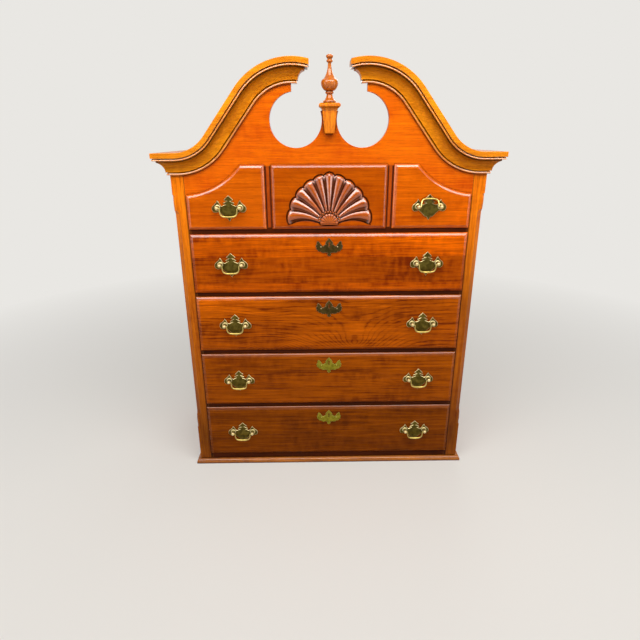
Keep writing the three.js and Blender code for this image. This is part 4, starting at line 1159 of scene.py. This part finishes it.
def wood(name, light, dark, turn=(0, 0, 0), shift=(0, 0, 0), spacing=0.013, arches=3.0, lines=0.2,
         streaks=0.3, curl=0.25, boards=None, domes=(), patches=(), lip_shades=(), worn=0.5, dirt_and_shade=0.95,
         gloss=0.75, index=1.75, masked=False):
    """Cherry for one piece: turned and shifted grain, board tones, soft patches, worn arrises, painted shade
    in corners and hollows, lacquer. A dome or patch is x, z, half width, half height in millimetres and a
    strength; a patch may name a height that it stays above. Patches give tone, and on some pieces they paint
    light and shade. A lip shade is a distance from the middle and a half width: painted shade beside a lip."""
    material, t, shader, place = start_material(name)
    turns = tuple(math.radians(angle) for angle in turn)
    grain = t.node("Mapping", {"Vector": place, "Rotation": turns, "Location": shift}).outputs[0]
    across, _, up = t.node("SeparateXYZ", {0: place}).outputs
    level, dome = 1.0, 0.0
    if boards:
        tone = glued_boards(t, up, *boards)
        jump = t.node("VectorMath", {0: tone, 1: (3.1, 1.7, 0.9)}, operation="MULTIPLY").outputs[0]
        grain = t.node("VectorMath", {0: grain, 1: jump}, operation="ADD").outputs[0]
        level = t.range(tone, 0.0, 1.0, 0.5, 1.5)
    for *spot, strength in domes:
        dome = t.plus(t.times(soft_spot(t, place, *spot), strength), dome)
    cherry = t.node("Group", {
        "Vector": grain, "Light": colour(light), "Dark": colour(dark), "Spacing": spacing, "Arches": arches,
        "Line Depth": lines, "Dome": dome, "Streaks": streaks, "Curl": curl,
    }, node_tree=CHERRY).outputs
    tint = cherry["Color"]
    for x, z, wide, high, strength, *foot in patches:
        spot = t.times(soft_spot(t, place, x, z, wide, high), strength)
        spot = t.times(spot, t.math("GREATER_THAN", up, foot[0] / 1000)) if foot else spot
        level = t.plus(spot, level)
    if boards or patches:
        tint = t.node("VectorMath", {0: tint, 3: level}, operation="SCALE").outputs[0]
    # Painted shade on the post or divider beside each drawer lip.
    for x, wide in lip_shades:
        beside = t.math("ABSOLUTE", t.math("SUBTRACT", t.math("ABSOLUTE", across), x / 1000))
        tint = t.mix(t.range(beside, wide / 1000, wide / 2000, 0.0, 0.85), tint, LIP_SHADE)
    wear_and_shade = t.node("Group", {"Vector": place, "Worn": worn, "Dirt And Shade": dirt_and_shade}, node_tree=WEAR_AND_SHADE).outputs
    tint = t.mix(t.times(wear_and_shade["Worn"], 0.5), tint, BARE_EDGE)
    # Painted shade, standing also for dirt, where two surfaces meet.
    tint = t.mix(wear_and_shade["Dirt And Shade"], tint, DIRT_AND_SHADE)
    coat = gloss
    if masked:
        # Painted shade in the hollows: the cornice's quirk and cove, the groove round the shell and the
        # shell's creases and flutes, where it stands also for dark glazing.
        tint = t.mix(t.times(t.mask("hollow"), 0.9), tint, PAINTED_HOLLOW_SHADE)
        coat = t.range(t.math("POWER", t.mask("moulded"), 3.0), 0.0, 1.0, 0.012, 1.0)
    bump = t.node("Bump", {"Height": cherry["Height"], "Strength": 0.06, "Distance": 0.0006}).outputs[0]
    t.feed(shader, {
        "Base Color": tint, "Roughness": cherry["Roughness"], "Normal": bump, "Coat Weight": coat,
        "Coat Roughness": 0.1, "Coat IOR": index, "Specular IOR Level": 0.04,
    })
    return material


def dress(piece, material):
    """Gives a piece, or a CAD node by name, this one material."""
    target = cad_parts[piece] if isinstance(piece, str) else piece
    target.data.materials.clear()
    target.data.materials.append(material)


print("wood and dress are ready")

# %% Dress the scroll board, mouldings and posts
UPRIGHT, LENGTHWISE = (0, 90, 0), (0, 0, 90)
NECK_X, POST_X = 305, 416
dress(scroll_board, wood("scroll_board_cherry", "#f27602", "#c04400", shift=(0.4, 0.1, 0.23), spacing=0.017,
                         arches=3.4, lines=0.14, worn=0.25, gloss=0.05))
for number, (_, side) in enumerate(HANDS):
    # Painted sheen: each swan neck is lighter where it rises steeply.
    dress(mouldings[number], wood(
        f"swan_neck_cherry_{number}", "#fa9a16", "#b85c06", shift=(number, 0.3, 0.1), spacing=0.016,
        arches=2.0, lines=0.1, streaks=0.18, dirt_and_shade=0.7, index=2.0, masked=True,
        patches=[(side * NECK_X, 1125, 110, 80, 0.3)]))
    dress(returns[number], wood(f"cornice_return_cherry_{number}", "#e0841a", "#9c4a08", LENGTHWISE,
                                (number, 0.7, 0.4), arches=2.0, lines=0.1, masked=True))
    # Painted light and shade on the posts: lighter near the top, darker towards the foot. The right post is
    # also darker in its middle.
    dress(posts[number], wood(
        f"post_cherry_{number}", "#f4860c", "#a84a00", UPRIGHT, (number * 0.7, 0.2, 0.5), spacing=0.012,
        arches=2.4, lines=0.15, gloss=0.06, lip_shades=[(398.5, 6.5)],
        patches=[(side * POST_X, 100, 300, 900, -0.78), (side * POST_X, 900, 300, 300, 0.4),
                 (POST_X, 560, 200, 260, -0.3)]))
dress(base, wood("base_cherry", "#c8740e", "#7c3c02", shift=(0.2, 0.5, 0.7), spacing=0.014, arches=1.5,
                 lines=0.1, gloss=0.5))
dress(finial, wood("finial_cherry", "#d87814", "#984404", UPRIGHT, (0.1, 0.9, 0.3), arches=2.0, lines=0.1,
                   worn=0.3, gloss=0.55))
dress(plinth, wood("plinth_cherry", "#f48e0c", "#b85400", UPRIGHT, (0.6, 0.4, 0.8), arches=2.0, lines=0.1,
                   worn=0.35, gloss=0.3))
dress(shell, wood("shell_cherry", "#d06404", "#943800", shift=(0.3, 0.8, 0.6), spacing=0.012, arches=2.0,
                  lines=0.1, worn=0.4, index=1.95, masked=True))
print("finishes:", len(bpy.data.materials))

# %% Glue up and finish the drawer fronts


def front_wood(key, light, dark, joints, pulls=(-1, 1), patches=(), **grain):
    """The finish of one drawer front, glued up from boards between its foot and its head, with painted
    shade just below its pulls."""
    row = key if key in ROWS else "small"
    x, height = pull_place(row)
    # Painted shade just below each pull, where the plate and the bail cast it.
    pull_shades = [(side * x, height - 12, 70, 52, -0.4) for side in pulls]
    dress(fronts[key], wood(f"{key}_front_cherry", light, dark, boards=(*ROWS[row], joints),
                            patches=[*patches, *pull_shades], index=1.95, masked=True, **grain))


# The fronts' colours grow darker from the small drawers down to the bottom drawer: painted shade, as the
# light falls off towards the floor.
front_wood("left", "#e06a04", "#a84000", [(0, 0.56), (0.28, 0.46)], [-1], shift=(0.2, 0.3, 0.15),
           spacing=0.015, lines=0.1)
front_wood("centre", "#ce5e00", "#8e3200", [(0, 0.6), (0.3, 0.42)], [], shift=(0.9, 0.1, 0.5), spacing=0.015,
           arches=2.6, lines=0.1)
front_wood("right", "#e46c04", "#ac4200", [(0, 0.52), (0.28, 0.5)], [1], shift=(1.4, 0.6, 0.35),
           spacing=0.015, lines=0.14, curl=0.35, patches=[(370, 830, 120, 90, 0.25)])
front_wood("upper", "#d46000", "#802a00", [(0, 0.52), (0.17, 0.3), (0.61, 0.55)], shift=(0.7, 0.2, 0.9),
           arches=4.0, lines=0.16, streaks=0.36, curl=0.6,
           patches=[(330, 790, 360, 150, 0.7, 716), (150, 690, 200, 60, -0.1), (-100, 700, 160, 90, 0.12)])
front_wood("middle", "#c86002", "#682400", [(0, 0.52), (0.54, 0.46)], shift=(1.9, 0.4, 0.2), spacing=0.012,
           lines=0.4,
           domes=[(80, 440, 240, 200, 12.0), (-185, 425, 150, 60, -6.0), (-190, 545, 140, 50, 2.0)],
           patches=[(-340, 590, 330, 110, 0.75, 515), (330, 500, 200, 110, 0.1), (90, 500, 90, 120, 0.12)])
front_wood("lower", "#b05600", "#642600", [(0, 0.5), (0.33, 0.54), (0.62, 0.46)], shift=(2.6, 0.9, 0.4),
           spacing=0.012, lines=0.24, domes=[(240, 300, 300, 60, 3.0)],
           patches=[(200, 370, 300, 60, 0.2), (-330, 390, 160, 60, 0.15)])
front_wood("bottom", "#944800", "#522000", [(0, 0.47), (0.5, 0.53)], shift=(3.3, 0.1, 0.8), arches=2.4,
           lines=0.12)
print("finishes:", len(bpy.data.materials))

# %% [markdown]
# ## The case's plain boards
#
# The sides, dividers and frame edges keep their CAD solids, which already have the right shape. They
# only need finishes: lacquered cherry where they show, with the frames painted dark brown as painted
# shade in the gaps between the drawers, and pale bare wood inside.

# %% Finish the CAD nodes that stay
for number, (hand, _) in enumerate(HANDS):
    dress(f"{hand}_side_panel", wood(f"side_cherry_{number}", "#cc6606", "#8c3a00", (90, 0, 90),
                                     (number, 0.3, 0.1), spacing=0.02, arches=5.0, lines=0.26, gloss=0.2))
    # The dividers carry painted shade beside the drawer lips.
    dress(f"{hand}_divider", wood(f"divider_cherry_{number}", "#d86004", "#983600", UPRIGHT,
                                  (number, 0.8, 0.9), gloss=0.08, lip_shades=[(162, 5.5), (178, 5.5)]))
# The frames are painted dark brown: painted shade in the gaps between the drawers.
for number, name in enumerate(("bottom_frame", "lower_frame", "middle_frame", "upper_frame", "top_frame")):
    dress(name, wood(f"frame_painted_shade_{number}", "#5a2200", "#341000", shift=(number * 0.6, 0.2, 0.3), worn=0.3,
                     gloss=0.03))
BARE = dict(light="#d9b27c", dark="#a87b45", worn=0.2, gloss=0.0)
dress("back_panel", wood("back_bare", turn=UPRIGHT, spacing=0.02, arches=4.0, **BARE))
dress("case_top", wood("top_bare", shift=(0.4, 0.1, 0.2), spacing=0.02, **BARE))
for number, name in enumerate(sorted(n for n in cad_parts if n.endswith("_drawer_box"))):
    dress(name, wood(f"drawer_box_bare_{number}", turn=LENGTHWISE, shift=(number * 0.7, 0.3, 0.1),
                     spacing=0.012, **BARE))
print("finishes:", len(bpy.data.materials))

# %% [markdown]
# ## Aged brass
#
# The plates are dark on their faces, darker in their corners with painted shade that stands also for
# patina, and bright on the filed bevels. The bails and the studs' balls are handled most, so they are the
# brightest. The four escutcheons carry painted reflections: the lower two are olive, as if mirroring a lit
# floor, and the upper two nearly brown, as if mirroring a dark ceiling.

# %% Make the brass
BRASS_PATINA_AND_SHADE = colour("#140d02")


def brass(name, bright, aged, polish):
    """Metal with patina, polished on the arrises and on the points marked as rubbed, with painted shade,
    which stands also for patina, in the corners.
    """
    material, t, shader, place = start_material(name)
    tones = {"Vector": place, "Bright": colour(bright), "Aged": colour(aged)}
    patina = t.node("Group", tones, node_tree=PATINA).outputs
    wear_and_shade = t.node("Group", {"Vector": place, "Worn": 1.0, "Dirt And Shade": 0.9}, node_tree=WEAR_AND_SHADE).outputs
    shine = t.math("MAXIMUM", t.times(wear_and_shade["Worn"], 0.7), t.times(t.mask("rubbed"), 0.85))
    tint = t.mix(shine, patina["Color"], colour(polish))
    bump = t.node("Bump", {"Height": patina["Height"], "Strength": 0.05, "Distance": 0.0004}).outputs[0]
    # Painted shade in the corners, which stands also for patina.
    t.feed(shader, {
        "Base Color": t.mix(wear_and_shade["Dirt And Shade"], tint, BRASS_PATINA_AND_SHADE), "Normal": bump, "Metallic": 1.0,
        "Roughness": t.plus(patina["Roughness"], t.times(shine, 0.06)),
    })
    return material


plate_brass = brass("plate_brass", "#75662c", "#3e3412", "#fae6a8")
dark_reflection_brass = brass("dark_reflection_brass", "#5e4c26", "#362c14", "#c8ac7c")
lit_reflection_brass = brass("lit_reflection_brass", "#a49a30", "#6c6418", "#ccc060")
bail_brass = brass("bail_brass", "#dcc46c", "#9c8840", "#fff0b8")
for plate in plates:
    dress(plate, plate_brass)
for ring in bails:
    dress(ring, bail_brass)
# Painted reflections: the lower two escutcheons lighter olive, the upper two dark brown.
for escutcheon, finish in zip(escutcheons, (lit_reflection_brass, lit_reflection_brass, dark_reflection_brass, dark_reflection_brass)):
    dress(escutcheon, finish)
print("finishes:", len(bpy.data.materials))

# %% [markdown]
# ## Floor and light
#
# A plain pale floor, one large soft lamp above and in front, two weaker ones at the sides and one
# behind. The large lamp is above the case because the photograph is lit from the ceiling: the top
# edges of the drawer fronts carry pale lines and the lower drawers are darker. Between 0.5 m and
# 2.6 m from the middle of the case the floor fades into the pale world. The camera and the mirroring
# surfaces see the world at its full strength, but little of it lights the wood.

# %% Lay the floor
PALE = colour("#e9e7e3")
FLOOR_HALF, FLOOR_Z = 30, -0.0005
FADE_START, FADE_END, LEAST_GLOW = 0.5, 2.6, 0.3


def floor_sheet(half, z):
    """A level square of four points."""
    mesh = bpy.data.meshes.new("floor")
    corners = [(-half, -half, z), (half, -half, z), (half, half, z), (-half, half, z)]
    mesh.from_pydata(corners, [], [(0, 1, 2, 3)])
    sheet = bpy.data.objects.new("floor", mesh)
    bpy.context.scene.collection.objects.link(sheet)
    return sheet


def seen_or_mirrored(t):
    """1 for rays from the camera, from a mirroring surface or through glass, 0 for rays that only light."""
    rays = t.node("LightPath").outputs
    seen = t.math("MAXIMUM", rays["Is Camera Ray"], rays["Is Glossy Ray"])
    return t.math("MAXIMUM", seen, rays["Is Transmission Ray"])


floor = floor_sheet(FLOOR_HALF, FLOOR_Z)
material, t, shader, place = start_material("pale_floor")
t.feed(shader, {"Roughness": 0.8, "Base Color": colour("#d9d6d1")})
glow = t.node("Emission", {"Color": PALE, "Strength": 1.0}).outputs[0]
distance = t.node("VectorMath", {0: place}, operation="LENGTH").outputs["Value"]
blend = t.times(t.range(distance, FADE_START, FADE_END, LEAST_GLOW, 1.0), seen_or_mirrored(t))
blend = t.node("MixShader", {0: blend, 1: shader.outputs[0], 2: glow}).outputs[0]
t.feed(material.node_tree.nodes["Material Output"], {"Surface": blend})
floor.data.materials.append(material)
print("floor half width", FLOOR_HALF, "m")

# %% Set the lamps and the world
WORLD_LIGHT = 0.22
LAMPS = {
    "ceiling_lamp": ((0.0, -1.25, 2.2), (0, -0.3, 0.6), 3.4, 0.8, 62),
    "left_lamp": ((-1.9, -1.0, 0.95), (0, -0.1, 0.9), 0.45, 1.1, 3.5),
    "right_lamp": ((1.9, -1.0, 0.95), (0, -0.1, 0.9), 0.45, 1.1, 4.5),
    "back_lamp": ((0.6, 2.2, 2.0), (0, 0.2, 0.6), 1.2, 1.2, 14),
}
LAMP_TINT = (1, 0.98, 0.95)

world = bpy.data.worlds.new("studio")
bpy.context.scene.world = world
world.use_nodes = True
t = Tree(world.node_tree)
strength = t.math("MULTIPLY_ADD", seen_or_mirrored(t), 1 - WORLD_LIGHT, WORLD_LIGHT)
t.feed(world.node_tree.nodes["Background"], {"Color": PALE, "Strength": strength})


def soft_lamp(name, place, target, wide, high, power):
    """A rectangular area lamp at a place, turned to face a target."""
    data = bpy.data.lights.new(name, "AREA")
    data.shape = "RECTANGLE"
    data.size, data.size_y, data.energy, data.color = wide, high, power, LAMP_TINT
    lamp = bpy.data.objects.new(name, data)
    bpy.context.scene.collection.objects.link(lamp)
    back = np.array(place, float) - target
    back /= np.linalg.norm(back)
    level = np.cross([0, 0, 1], back)
    level /= np.linalg.norm(level)
    turn = np.array([level, np.cross(back, level), back]).T
    lamp.matrix_world = Matrix.Translation(place) @ Matrix(turn.tolist()).to_4x4()


for name, values in LAMPS.items():
    soft_lamp(name, *values)
bpy.context.scene.view_settings.view_transform = "Standard"
print("lamps:", [light.name for light in bpy.data.lights])
